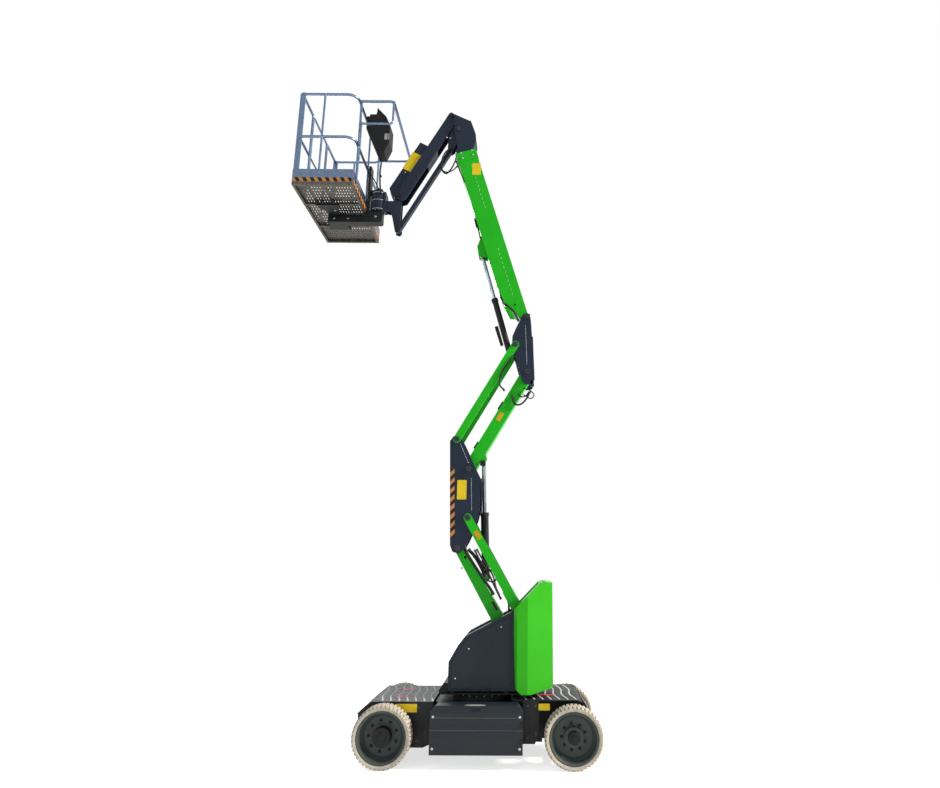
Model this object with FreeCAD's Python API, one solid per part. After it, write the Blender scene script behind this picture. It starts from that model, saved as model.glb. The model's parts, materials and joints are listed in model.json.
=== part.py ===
import FreeCAD, Part
import os
import math

os.makedirs("parts", exist_ok=True)
V = FreeCAD.Vector

# All sizes are in millimetres and all angles in degrees. While it is built, the machine has its
# slewing axis at x = 0, y = 0, its working platform towards -X, its counterweight towards +X and
# the ground at z = 0. At the end everything is moved so that the middle of its base is the origin.

# Wheels and chassis
TYRE_R, TYRE_W = 300, 202            # outer radius over the lugs, and width
AXLE_R, AXLE_GAP = 38, 0.4           # spindle in the hub, and its running clearance
RIM_R = 253                          # radius of the bead seat
WHEEL_X, WHEEL_Y = 972, 608          # half wheelbase and half track
TYRE_SIDES = 56                      # flat sides that stand for the tyre's round
SIDE_Y, SIDE_T = 470, 15             # chassis side plate: outer face and thickness
KING_Y = 470                         # steering axis, from the middle
BOX_Y = 700                          # outer face of the battery boxes
TIE_R = 16                           # radius of the tie-down holes
TIE_X, TIE_Y, TIE_Z = 1305, 220, 290  # drive end: place of the hole, and outer face of the lug
EYE_X, EYE_Y = 1226, 180             # steered end: middle of the hole
EYE_Z, EYE_T = 300, 16               # underside and thickness of the flat lug

# Turntable
RING_Z, TABLE_Z = 623, 643           # bottom and top of the slewing ring
COWL_Y = 350                         # outer face of the side cowls
WEIGHT_Y = 450                       # half width of the counterweight
SLOT_Y = 190                         # half width of the slot in the counterweight for the arms

# Riser: each pivot is placed from the one before it, starting at the turntable
LOW_PIVOT = (414, 920.2632)          # lower arm's pivot on the turntable, as (x, z)
LOW_ANGLE, LOW_LEN = 120, 1450       # lower arm: angle from +X and length between pivots
UP_ANGLE, UP_LEN = 60, 1375          # upper arm
LOW_STEP, UP_STEP = (112, 340), (-146, 348)          # from each arm's pivot to that of its link
MID_STEP = (106, 913)                # from the lower to the upper arm's pivot on the mid upright
RISER_FOOT = (996.0154, -114.3243)   # riser cylinder's pins: along and across the lower arm,
RISER_HEAD = (207.3416, -73.1262)    # and along and across the upper arm
PIN_R = 22                           # radius of the main pins
PIN_GAP = 0.5                        # clearance round a pin
PLATE = (134, 150)                   # inner and outer face of the uprights' side plates
LINK = (156, 172)                    # inner and outer face of the link straps outside them
ARM_PIN, LINK_PIN = 156, 174         # half lengths of the pins of arms and links

# Boom, nose and jib
BOOM_STEP = (-13.5, 720.2151)        # from the upper arm's end pivot to the boom's pivot
BOOM_ANGLE = 107
BOOM_LEN = 2365                      # pivot to the end of the tube
BOOM_TOP, BOOM_BOT = 32, -238        # faces of the tube above and below the pivot
BOOM_HALF, BOOM_WALL = 100, 10
LIFT_STEP = (-207, -440)             # from the boom's pivot to the foot of its lift cylinder
LIFT_HEAD = (1011.203, 294.2084)     # top pin of that cylinder: along and across the boom
FLY_GAP, PAD_GAP = 6, 0.3            # between the two booms: at the walls and at the slide pads
FLY_HALF, FLY_WALL = BOOM_HALF - BOOM_WALL - FLY_GAP, 8
FLY_END = BOOM_LEN + 160             # pivot to the end of the fly boom's tube
HEAD_OUT, HEAD_ACROSS = 320.7725, 97.2249            # levelling head's pin, from the tube's end
JIB_STEP, JIB_LINK_STEP = (-105, 227), (-110, -257)  # from that pin to those of jib and link
JIB_ANGLE, JIB_LEN = 241.5, 1376
JIB_SIDES = (-52, 100)               # upper and lower edge of its cheeks, across the jib

# Platform
ROT_STEP = (-282.4295, -267.7477)    # from the jib's end to the rotator's axis at floor height
PLAT_LEFT, PLAT_RIGHT = 888, 150     # from that axis to the left and right side of the floor
PLAT_Y = 775                         # half length
RAIL_H, MID_H, TOE_H = 1299, 677, 212                # rails and toe board above the floor's underside
TUBE_R = 17
POST_W, POST_T = 63, 24              # flat corner posts: width and thickness
GATE_Y = 330                         # gate posts, from the middle
GUARD_OUT = 435                      # outer bar of the console guard, from the right rail


def box(x0, x1, y0, y1, z0, z1):
    return Part.makeBox(x1 - x0, y1 - y0, z1 - z0, V(x0, y0, z0))


def prism(pts, y0, y1):
    """Flat outline in the XZ plane, pushed out from y0 to y1."""
    wire = Part.makePolygon([V(x, y0, z) for x, z in pts] + [V(pts[0][0], y0, pts[0][1])])
    return Part.Face(wire).extrude(V(0, y1 - y0, 0))


def slab(pts, z0, z1):
    """Flat outline in the XY plane, pushed up from z0 to z1."""
    wire = Part.makePolygon([V(x, y, z0) for x, y in pts] + [V(pts[0][0], pts[0][1], z0)])
    return Part.Face(wire).extrude(V(0, 0, z1 - z0))


def cyl_y(x, z, r, y0, y1):
    return Part.makeCylinder(r, y1 - y0, V(x, y0, z), V(0, 1, 0))


def cyl_z(x, y, r, z0, z1):
    return Part.makeCylinder(r, z1 - z0, V(x, y, z0), V(0, 0, 1))


def rod(a, b, r, y=0):
    """Round bar from a to b, both (x, z)."""
    d = V(b[0] - a[0], 0, b[1] - a[1])
    return Part.makeCylinder(r, d.Length, V(a[0], y, a[1]), d)


def fuse(*shapes):
    out = shapes[0]
    if len(shapes) > 1:
        out = out.fuse(list(shapes[1:]))
    return out.removeSplitter()


def turn(pts, origin, angle):
    """Points (along, across) from an origin, along the direction of angle; across is to its left."""
    c, s = math.cos(math.radians(angle)), math.sin(math.radians(angle))
    return [(origin[0] + a * c - b * s, origin[1] + a * s + b * c) for a, b in pts]


def ahead(origin, angle, dist):
    return turn([(dist, 0)], origin, angle)[0]


def strap(a, b, ra, rb, y0, y1):
    """Plate with round ends, from a to b in the XZ plane."""
    d = math.hypot(b[0] - a[0], b[1] - a[1])
    ang = math.degrees(math.atan2(b[1] - a[1], b[0] - a[0]))
    c = (ra - rb) / d
    s = math.sqrt(1 - c * c)
    body = prism(turn([(ra * c, ra * s), (d + rb * c, rb * s), (d + rb * c, -rb * s),
                       (ra * c, -ra * s)], a, ang), y0, y1)
    return fuse(body, cyl_y(a[0], a[1], ra, y0, y1), cyl_y(b[0], b[1], rb, y0, y1))


def drill(shape, at, r=PIN_R + PIN_GAP, half=500):
    return shape.cut(cyl_y(at[0], at[1], r, -half, half))


def pin(at, half, head=8):
    """Main pin with a retaining head at each end."""
    return fuse(cyl_y(at[0], at[1], PIN_R, -half, half),
                cyl_y(at[0], at[1], PIN_R + 12, -half - head, -half),
                cyl_y(at[0], at[1], PIN_R + 12, half, half + head))


def bent(pts, radius):
    """Wire through 3-D points with its corners rounded."""
    pts = [V(*p) for p in pts]
    edges, last = [], pts[0]
    for i in range(1, len(pts) - 1):
        a, b, c = pts[i - 1], pts[i], pts[i + 1]
        u, w = (a - b).normalize(), (c - b).normalize()
        half = math.acos(max(-1, min(1, u.dot(w)))) / 2
        cut = radius / math.tan(half)
        p, q = b + u * cut, b + w * cut
        mid_dir = (u + w).normalize()
        centre = b + mid_dir * (radius / math.sin(half))
        edges.append(Part.makeLine(last, p))
        edges.append(Part.Arc(p, centre - mid_dir * radius, q).toShape())
        last = q
    edges.append(Part.makeLine(last, pts[-1]))
    return Part.Wire(edges)


def tube(pts, r=TUBE_R, radius=60):
    path = bent(pts, radius)
    d = (V(*pts[1]) - V(*pts[0])).normalize()
    ring = Part.Wire(Part.makeCircle(r, V(*pts[0]), d))
    return path.makePipeShell([ring], True, True)


def step(origin, by):
    return (origin[0] + by[0], origin[1] + by[1])


def around(origin, pts):
    return [step(origin, p) for p in pts]


LOW_ARM, LOW_LINK = LOW_PIVOT, step(LOW_PIVOT, LOW_STEP)
MID_ARM = ahead(LOW_ARM, LOW_ANGLE, LOW_LEN)
MID_LINK = step(MID_ARM, LOW_STEP)
TOP_ARM = step(MID_ARM, MID_STEP)
TOP_LINK = step(TOP_ARM, UP_STEP)
END_ARM = ahead(TOP_ARM, UP_ANGLE, UP_LEN)
END_LINK = step(END_ARM, UP_STEP)
RISER_LOW = turn([RISER_FOOT], LOW_ARM, LOW_ANGLE)[0]
RISER_TOP = turn([RISER_HEAD], TOP_ARM, UP_ANGLE)[0]
BOOM = step(END_ARM, BOOM_STEP)
LIFT_LOW, LIFT_TOP = step(BOOM, LIFT_STEP), turn([LIFT_HEAD], BOOM, BOOM_ANGLE)[0]
HEAD = turn([(FLY_END + HEAD_OUT, HEAD_ACROSS)], BOOM, BOOM_ANGLE)[0]
JIB, JIB_LINK = step(HEAD, JIB_STEP), step(HEAD, JIB_LINK_STEP)
JIB_END = ahead(JIB, JIB_ANGLE, JIB_LEN)
LINK_END = ahead(JIB_LINK, JIB_ANGLE, JIB_LEN)

ROT = step(JIB_END, ROT_STEP)
ROT_X, FLOOR_Z = ROT
PLAT_X0, PLAT_X1 = ROT_X - PLAT_LEFT, ROT_X - PLAT_RIGHT
RAIL_TOP, MID_RAIL_Z, TOE_Z = FLOOR_Z + RAIL_H, FLOOR_Z + MID_H, FLOOR_Z + TOE_H
RAIL_X0, RAIL_X1 = PLAT_X0 + 25, PLAT_X1 - 25        # middle of the rails, left and right
RAIL_Y, RAIL_Z = PLAT_Y - 25, RAIL_TOP - TUBE_R      # middle of the long rails and of the top rail
GUARD_X = RAIL_X1 + GUARD_OUT

SIDE_LEFT = [(-1265, 478), (-1125, 589), (-486, 589), (-486, 200), (-577, 160), (-1150, 160),
             (-1265, 300)]
SIDE_RIGHT = [(454, 611), (454, 199), (581, 199), (622, 300), (622, 611)]
NOSE = [(640, 200), (1120, 200), (1180, 260), (1184, 436), (1078, 592), (1071, 592), (1028, 611),
        (640, 611)]


def spindle(sx, sy):
    y0, y1 = sorted((sy * (WHEEL_Y - 100), sy * (WHEEL_Y - 12)))
    return Part.makeCylinder(AXLE_R, y1 - y0, V(sx * WHEEL_X, y0, TYRE_R), V(0, 1, 0))


def both(y0, y1):
    """The same range of y on the near and on the far side."""
    return [(-y1, -y0), (y0, y1)]


def chassis_frame():
    parts = [box(-1145, 660, -300, 300, 180, 570), prism(NOSE, -235, 235),
             cyl_z(0, 0, 330, 560, RING_Z)]
    for y0, y1 in both(290, SIDE_Y - SIDE_T):
        parts.append(box(-500, 470, y0, y1, 200, 540))
        parts.append(box(-1110, -1090, y0, y1, 200, 540))
    return fuse(*parts)


def side_plates():
    return Part.makeCompound([prism(outline, y0, y1) for y0, y1 in both(SIDE_Y - SIDE_T, SIDE_Y)
                              for outline in (SIDE_LEFT, SIDE_RIGHT)])


def axle_mounts():
    """Tubes of the drive axle, and the brackets that hold the king pins."""
    parts = []
    for s in (-1, 1):
        a0, a1 = sorted((s * 300, s * (WHEEL_Y - 86)))
        tunnel = box(-WHEEL_X - 68, -WHEEL_X + 68, *sorted((s * 300, s * (SIDE_Y - SIDE_T))), 240, 360)
        tube_ = Part.makeCylinder(95, a1 - a0, V(-WHEEL_X, a0, TYRE_R), V(0, 1, 0))
        parts.append(fuse(tunnel, tube_, spindle(-1, s)).cut(side_plates()))
        for z0, z1 in ((185, 225), (375, 415)):
            arm = box(WHEEL_X - 45, WHEEL_X + 45, *sorted((s * 235, s * (KING_Y + 30))), z0, z1)
            parts.append(arm.cut(cyl_z(WHEEL_X, s * KING_Y, 20 + PIN_GAP, 150, 450)))
    return Part.makeCompound(parts)


def tie_down_lugs():
    """Upright lugs with a cross hole at the drive end, flat ones with an upright hole at the other."""
    out = []
    for y0, y1 in both(TIE_Y - 25, TIE_Y):
        out.append(box(-1340, -1145, y0, y1, 250, 330).cut(cyl_y(-TIE_X, TIE_Z, TIE_R, -300, 300)))
    for y in (-EYE_Y, EYE_Y):
        plate = box(1170, EYE_X + 34, y - 32, y + 32, EYE_Z, EYE_Z + EYE_T)
        out.append(plate.cut(cyl_z(EYE_X, y, TIE_R, 200, 400)))
    return Part.makeCompound(out).cut(chassis_frame())


def deck_covers():
    left = [(-1275, 484), (-1129, 599), (-486, 599), (-486, 589), (-1125, 589), (-1265, 478)]
    right = [(345, 611), (345, 621), (1030, 621), (1075, 602), (1071, 592), (1028, 611)]
    lip = [(1078, 592), (1084, 600), (1192, 440), (1184, 436)]
    return Part.makeCompound([prism(left, -SIDE_Y - 2, SIDE_Y + 2),
                              fuse(prism(right, -SIDE_Y - 2, SIDE_Y + 2), prism(lip, -230, 230))])


def battery_boxes():
    """Boxes with chamfered ends on top and two shallow folds along each side."""
    ends = [(-486, 541), (-486, 145), (454, 145), (454, 541), (400, 600), (-430, 600)]
    fold = [(SIDE_Y, 145), (BOX_Y - 10, 145), (BOX_Y, 314), (BOX_Y - 8, 438), (BOX_Y, 541),
            (BOX_Y - 34, 600), (SIDE_Y, 600)]
    out = []
    for s in (-1, 1):
        wire = Part.makePolygon([V(-500, s * y, z) for y, z in fold + [fold[0]]])
        out.append(prism(ends, *sorted((s * SIDE_Y, s * BOX_Y)))
                   .common(Part.Face(wire).extrude(V(1000, 0, 0))))
    return Part.makeCompound(out)


def slew_ring():
    return cyl_z(0, 0, 300, RING_Z + 0.2, TABLE_Z - 0.2)


def wheel_place(sx, sy):
    return V(sx * WHEEL_X, sy * WHEEL_Y, TYRE_R)


def revolve_y(pts, at, sy):
    """Half section as (radius, offset outwards), turned about the wheel's axis."""
    wire = Part.makePolygon([V(r, sy * y, 0) for r, y in pts + [pts[0]]])
    body = Part.Face(wire).revolve(V(0, 0, 0), V(0, 1, 0), 360)
    body.translate(at)
    return body


def tyre(sx, sy):
    """Solid tyre as a ring of flat sides; the blocks of the tread are left to the looks."""
    h = TYRE_W / 2
    turn_ = 2 * math.pi / TYRE_SIDES
    bore = RIM_R / math.cos(turn_ / 2) + 0.1
    profile = [(bore, -h + 8), (TYRE_R - 20, -h), (TYRE_R - 5, -h + 12), (TYRE_R, -h + 42),
               (TYRE_R, h - 42), (TYRE_R - 5, h - 12), (TYRE_R - 20, h), (bore, h - 8)]
    at = wheel_place(sx, sy)

    def corner(i, point):
        a = turn_ * i - math.pi / 2
        return at + V(point[0] * math.cos(a), point[1], point[0] * math.sin(a))

    faces = []
    for i in range(TYRE_SIDES):
        for p, q in zip(profile, profile[1:] + profile[:1]):
            quad = [corner(i, p), corner(i, q), corner(i + 1, q), corner(i + 1, p)]
            faces.append(Part.Face(Part.makePolygon(quad + quad[:1])))
    ring = Part.makeSolid(Part.makeShell(faces))
    return ring if ring.Volume > 0 else ring.reversed()


def rim(sx, sy):
    at = wheel_place(sx, sy)
    g = 0.3
    dish = revolve_y([(RIM_R - g, -90), (RIM_R - g, 90), (RIM_R - 10, 94), (RIM_R - 24, 84),
                      (RIM_R - 34, 20), (190, -16), (150, -20), (60, -20), (60, -40), (150, -40),
                      (200, -60), (RIM_R - 20, -90)], at, sy)
    out = [dish]
    hub = ((93, 34), (84, 62)) if sx < 0 else ((97, 26), (50, 60))     # (radius, outer face)
    y_in = -40
    for r, y_out in hub:
        y0, y1 = sorted((sy * y_in, sy * y_out))
        out.append(Part.makeCylinder(r, y1 - y0, at + V(0, y0, 0), V(0, 1, 0)))
        y_in = y_out
    y0, y1 = sorted((sy * -45, sy * -10))
    bore = Part.makeCylinder(AXLE_R + AXLE_GAP, y1 - y0, at + V(0, y0, 0), V(0, 1, 0))
    return fuse(*out).cut(bore)


def knuckle(sy):
    y0, y1 = sorted((sy * (KING_Y - 32), sy * (KING_Y + 32)))
    body = box(WHEEL_X - 34, WHEEL_X + 34, y0, y1, 232, 368)
    y0, y1 = sorted((sy * (KING_Y + 20), sy * (WHEEL_Y - 44)))
    body = fuse(body, Part.makeCylinder(52, y1 - y0, V(WHEEL_X, y0, TYRE_R), V(0, 1, 0)),
                cyl_z(WHEEL_X, sy * KING_Y, 20, 185, 415), spindle(1, sy))
    return body


def turntable_base():
    plate = slab([(-420, -330), (600, -330), (600, 330), (-420, 330)], TABLE_Z, TABLE_Z + 16)
    front = prism([(-420, TABLE_Z), (-453, 673), (-402, 759), (-355, 759), (-355, TABLE_Z)],
                  -320, 320)
    web = [(120, 650), (590, 650), (590, 1250), (540, 1400), (430, 1400), (360, 1250)]
    parts = [plate, front]
    for y0, y1 in both(130, 150):
        parts.append(prism(web, y0, y1))
    for y0, y1 in both(100, 131):
        parts.append(cyl_y(*LOW_ARM, 48, y0, y1))
    for y0, y1 in both(205, 325):
        for x0, x1, high in ((-320, -280, 37), (250, 290, 37), (445, 530, 20)):
            parts.append(box(x0, x1, y0, y1, TABLE_Z, TABLE_Z + high))
    return fuse(*parts, pin(LOW_ARM, ARM_PIN), pin(LOW_LINK, LINK_PIN))


COWL = [(-353, 680), (369, 680), (369, 720), (343.2, 1500), (-169, 1239), (-255, 1141), (-353, 973)]


def side_cowls():
    inset = [(-318, 712), (318, 712), (308, 1440), (-155, 1205), (-228, 1122), (-318, 963)]
    out = []
    for s in (-1, 1):
        shell = prism(COWL, *sorted((s * 200, s * (COWL_Y - 10))))
        face = prism(inset, *sorted((s * (COWL_Y - 12), s * COWL_Y)))
        out.append(fuse(shell, face))
    return Part.makeCompound(out)


WEIGHT = [(369, 720), (437, 663), (538, 663), (738, 709), (779, 741), (772, 1800), (632, 1800),
          (343, 1507)]


def counterweight():
    body = prism(WEIGHT, -WEIGHT_Y, WEIGHT_Y)
    body = body.cut(box(0, 625, -SLOT_Y, SLOT_Y, 600, 2000))
    half = [(351, 400), (386, WEIGHT_Y), (500, WEIGHT_Y), (775, 340), (790, 300)]
    plan = slab([(x, -y) for x, y in half] + half[::-1], 600, 1900)
    return body.common(plan)


def lower_arm():
    a = LOW_LEN
    side = turn([(-30, 52), (a - 20, 46), (a - 20, -58), (420, -100), (60, -100), (-30, -70)],
                LOW_ARM, LOW_ANGLE)
    body = fuse(prism(side, -82, 82), cyl_y(*LOW_ARM, 60, -94, 94), cyl_y(*MID_ARM, 52, -94, 94))
    for s in (-1, 1):
        ear = strap(RISER_LOW, ahead(RISER_LOW, LOW_ANGLE + 90, 80), 36, 60, *sorted((s * 60, s * 82)))
        body = fuse(body, ear)
    body = body.cut(cyl_y(*RISER_LOW, 54, -60, 60))
    return fuse(drill(drill(body, LOW_ARM), MID_ARM), cyl_y(*RISER_LOW, 17.5, -88, 88))


def link_straps(a, b, ra, rb):
    return [strap(a, b, ra, rb, y0, y1) for y0, y1 in both(*LINK)]


def lower_link():
    """Two straps outside the uprights, tied by an open collar that shows above the slot."""
    collar = [(220, 58), (520, 58), (520, -58), (220, -58)]
    ring = prism(turn(collar, LOW_LINK, LOW_ANGLE), -LINK[1], LINK[1])
    hole = [(210, 46), (530, 46), (530, -46), (210, -46)]
    ring = ring.cut(prism(turn(hole, LOW_LINK, LOW_ANGLE), -LINK[0], LINK[0]))
    body = fuse(*link_straps(LOW_LINK, MID_LINK, 50, 48), ring)
    return drill(drill(body, LOW_LINK), MID_LINK)


MID_PLATE = around(MID_ARM, [(-124, 1240), (-90, 1289), (-42, 1306), (31, 1249), (88, 1133),
                             (194, 907), (256, 790), (248, 603), (246, 429), (219, 315), (165, 178),
                             (121, 76), (66, -26), (10, -66), (-54, -46), (-85, 24)])


def mid_upright():
    parts = [prism(MID_PLATE, y0, y1) for y0, y1 in both(*PLATE)]
    back = around(MID_ARM, [(-122, 1227), (-85, 34), (-69, 34), (-104, 1227)])
    parts.append(prism(back, -140, 140))
    for at in (MID_ARM, TOP_ARM):
        parts.append(pin(at, ARM_PIN))
        parts += [cyl_y(*at, 38, y0, y1) for y0, y1 in both(101, 136)]
    return fuse(*parts, pin(MID_LINK, LINK_PIN), pin(TOP_LINK, LINK_PIN))


def upper_arm():
    a = UP_LEN
    side = turn([(0, 73), (a, 73), (a, -73), (0, -73)], TOP_ARM, UP_ANGLE)
    body = fuse(prism(side, -76, 76), cyl_y(*TOP_ARM, 73, -94, 94), cyl_y(*END_ARM, 73, -94, 94))
    ear = strap(RISER_TOP, ahead(RISER_TOP, UP_ANGLE + 90, 70), 40, 60, -66, 66)
    body = fuse(body, ear).cut(cyl_y(*RISER_TOP, 54, -34, 34))
    for angle in (-96, -72, -48, -20):           # pocket that the riser rod swings in
        body = body.cut(strap(RISER_TOP, ahead(RISER_TOP, angle, 200), 34, 34, -34, 34))
    body = drill(drill(body, TOP_ARM), END_ARM)
    return fuse(body, cyl_y(*RISER_TOP, 17.5, -72, -33), cyl_y(*RISER_TOP, 17.5, 33, 72))


def upper_link():
    """Two straps outside the uprights, tied by a tube half way along."""
    tie = cyl_y(*ahead(TOP_LINK, UP_ANGLE, UP_LEN / 2), 20, -LINK[0], LINK[0])
    body = fuse(*link_straps(TOP_LINK, END_LINK, 45, 45), tie)
    return drill(drill(body, TOP_LINK), END_LINK)


UPPER_PLATE = around(BOOM, [(-74, -36), (-45, 26), (1, 48), (43, 28), (57, -62), (70, -246),
                            (87, -505), (102, -823), (71, -870), (1, -882), (-50, -830), (-88, -700),
                            (-126, -560), (-151, -465), (-176, -352), (-172, -260), (-129, -155)])


def upper_upright():
    parts = [prism(UPPER_PLATE, y0, y1) for y0, y1 in both(*PLATE)]
    back = around(BOOM, [(58, -180), (80, -580), (67, -580), (45, -180)])
    parts.append(prism(back, -140, 140))
    parts += [strap(END_LINK, LIFT_LOW, 40, 34, y0, y1) for y0, y1 in both(42, 58)]
    for at in (END_ARM, BOOM):
        parts.append(pin(at, ARM_PIN))
        parts += [cyl_y(*at, 38, y0, y1) for y0, y1 in both(107, 136)]
    return fuse(*parts, pin(END_LINK, LINK_PIN), cyl_y(*LIFT_LOW, 17.5, -64, 64))


def section(x0, x1, top, bottom, half):
    """Square length of the boom, from x0 to x1 along it and from top to bottom across it."""
    outline = turn([(x0, top), (x1, top), (x1, bottom), (x0, bottom)], BOOM, BOOM_ANGLE)
    return prism(outline, -half, half)


def main_boom():
    t, b = BOOM_TOP, BOOM_BOT
    outline = turn([(-60, -t), (BOOM_LEN, -t), (BOOM_LEN, -b), (500, -b), (200, -b - 40),
                    (60, 100), (-60, 60)], BOOM, BOOM_ANGLE)
    body = prism(outline, -BOOM_HALF, BOOM_HALF)
    w = BOOM_WALL
    bore = section(300, BOOM_LEN + 150, -t + w, -b - w, BOOM_HALF - w)
    collar = section(BOOM_LEN - 10, BOOM_LEN + 136, -t - 8, -b + 8, BOOM_HALF + 8)
    body = fuse(body, collar).cut(bore)
    for s in (-1, 1):
        ear = prism(turn([(965, -b - 8), (1120, -b - 8), (1045, -b + 92), (980, -b + 92)],
                         BOOM, BOOM_ANGLE), *sorted((s * 34, s * 48)))
        body = fuse(body, ear)
    f = FLY_GAP - PAD_GAP                        # slide pads that the fly boom runs on
    pads = section(BOOM_LEN + 60, BOOM_LEN + 120, -t + w - 1, -b - w + 1, BOOM_HALF - w + 1)
    pads = pads.cut(section(BOOM_LEN, BOOM_LEN + 150, -t + w + f, -b - w - f, BOOM_HALF - w - f))
    body = drill(fuse(body, pads), BOOM)
    return fuse(body, cyl_y(*LIFT_TOP, 17.5, -54, -33), cyl_y(*LIFT_TOP, 17.5, 33, 54))


def fly_boom():
    t, b = -BOOM_TOP + BOOM_WALL + FLY_GAP, -BOOM_BOT - BOOM_WALL - FLY_GAP
    start, end, w = 360, FLY_END, FLY_WALL
    tube_ = section(start, end, t, b, FLY_HALF)
    tube_ = tube_.cut(section(start - 5, end - 20, t + w, b - w, FLY_HALF - w))
    return fuse(tube_, section(end - 12, end + 40, t, b, 106))


def boom_nose():
    cheek = around(HEAD, [(-6, -315), (211, -243), (238, -178), (229, -77), (213, -24), (155, 138),
                          (16, 97), (-74, 27), (-44, -93), (-24, -223)])
    core = around(HEAD, [(16, -293), (200, -231), (231, -173), (176, 7), (126, -53)])
    parts = [prism(cheek, y0, y1) for y0, y1 in both(90, 106)]
    return fuse(*parts, prism(core, -100, 100), pin(HEAD, 110, 6)).cut(fly_boom())


def level_head():
    plate = around(HEAD, [(-144, 257), (-84, 272), (-44, 187), (56, 7), (31, -53), (-64, -273),
                         (-104, -303), (-149, -273), (-144, -133)])
    parts = []
    for s in (-1, 1):
        parts.append(prism(plate, *sorted((s * 40, s * 56))))
    parts.append(cyl_y(*HEAD, 45, -56, 56))
    parts.append(cyl_y(*HEAD, 36, -88, 88))
    body = drill(fuse(*parts), HEAD)
    return fuse(body, cyl_y(*JIB, 20, -86, 86), cyl_y(*JIB_LINK, 18, -62, 62))


def jib_arm():
    """Two cheeks tied by a flange above and a short one below."""
    a = JIB_LEN
    t, b = JIB_SIDES
    side = [(-46, -34), (-18, t), (a + 26, t), (a + 56, -16), (a + 50, 60), (a + 10, b), (50, b),
            (-36, 52)]
    parts = [prism(turn(side, JIB, JIB_ANGLE), y0, y1) for y0, y1 in both(64, 78)]
    for x0, x1, y in ((90, a - 60, t), (560, 820, b - 10)):            # (from, to, across)
        flange = turn([(x0, y), (x1, y), (x1, y + 10), (x0, y + 10)], JIB, JIB_ANGLE)
        parts.append(prism(flange, -70, 70))
    return drill(drill(fuse(*parts), JIB, 20.5), JIB_END, 20.5)


def jib_cover():
    t = JIB_SIDES[0]
    a, b, c = JIB_LEN - 824, JIB_LEN - 32, JIB_LEN + 44
    side = [(a, t), (a, -175), (b, -178), (c, -105), (c, t)]
    return prism(turn(side, JIB, JIB_ANGLE), -62, 62)


def jib_link():
    body = strap(JIB_LINK, LINK_END, 27, 27, -34, 34)
    return drill(drill(body, JIB_LINK, 18.5), LINK_END, 18.5)


def level_bracket():
    plate = around(ROT, [(316, 295), (278, 309), (240, 272), (200, 197), (80, 197), (80, 63),
                        (170, 47), (200, -43), (245, -248), (295, -263), (320, -228), (310, -43)])
    parts = []
    for s in (-1, 1):
        parts.append(prism(plate, *sorted((s * 40, s * 56))))
    parts.append(box(ROT_X + 75, ROT_X + 105, -80, 80, FLOOR_Z + 63, FLOOR_Z + 315))
    body = cyl_z(ROT_X, 0, 100, FLOOR_Z + 57, FLOOR_Z + 317)
    parts.append(body.cut(cyl_z(ROT_X, 0, 45.5, FLOOR_Z - 43, FLOOR_Z + 457)))
    parts.append(cyl_y(*JIB_END, 20, -86, 86))
    parts.append(cyl_y(*LINK_END, 18, -62, 62))
    return fuse(*parts)


def platform_support():
    x, z = ROT
    low = around(ROT, [(-640, -113), (50, -113), (66, -93), (66, 51), (-120, 51), (-140, 0), (-640, 0)])
    cross = [(-730, -330), (-430, -330), (-490, -55), (-590, -55)]
    parts = [cyl_z(x, 0, 45, z - 3, z + 387), box(x - 120, x + 60, -60, 60, z + 323, z + 353),
             prism(low, -60, 60), box(x - 145, x - 112, -60, 60, z - 3, z + 707)]
    for s in (-1, 1):
        parts.append(slab([(x + dx, s * y) for dx, y in cross], z - 25, z))
    return fuse(*parts)


def platform_floor():
    frame = box(PLAT_X0, PLAT_X1, -PLAT_Y, PLAT_Y, FLOOR_Z, FLOOR_Z + 40)
    frame = frame.cut(box(PLAT_X0 + 30, PLAT_X1 - 30, -PLAT_Y + 30, PLAT_Y - 30, FLOOR_Z - 1,
                          FLOOR_Z + 34))
    bars = [box(PLAT_X0 + 10, PLAT_X1 - 10, y - 18, y + 18, FLOOR_Z, FLOOR_Z + 36)
            for y in (-290, 290)]
    return fuse(frame, *bars)


def toe_board():
    o = 4
    outer = box(PLAT_X0, PLAT_X1, -PLAT_Y, PLAT_Y, FLOOR_Z + 40, TOE_Z)
    inner = box(PLAT_X0 + o, PLAT_X1 - o, -PLAT_Y + o, PLAT_Y - o, FLOOR_Z + 30, TOE_Z + 10)
    gate = box(PLAT_X0 - 10, PLAT_X0 + 10, -300, 300, FLOOR_Z + 60, TOE_Z + 10)
    return outer.cut(inner).cut(gate)


def top_rail():
    """Long rail with rounded right corners, and the short rails from corner posts to gate."""
    end = PLAT_X0 + POST_W
    parts = [tube([(end, -RAIL_Y, RAIL_Z), (RAIL_X1, -RAIL_Y, RAIL_Z), (RAIL_X1, RAIL_Y, RAIL_Z),
                   (end, RAIL_Y, RAIL_Z)], TUBE_R, 130)]
    parts += [cyl_y(RAIL_X0, RAIL_Z, TUBE_R, y0, y1)
              for y0, y1 in both(GATE_Y, RAIL_Y - POST_T / 2)]
    return Part.makeCompound(parts)


def mid_rail():
    rail = top_rail()
    rail.translate(V(0, 0, MID_RAIL_Z - RAIL_Z))
    return rail


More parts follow.
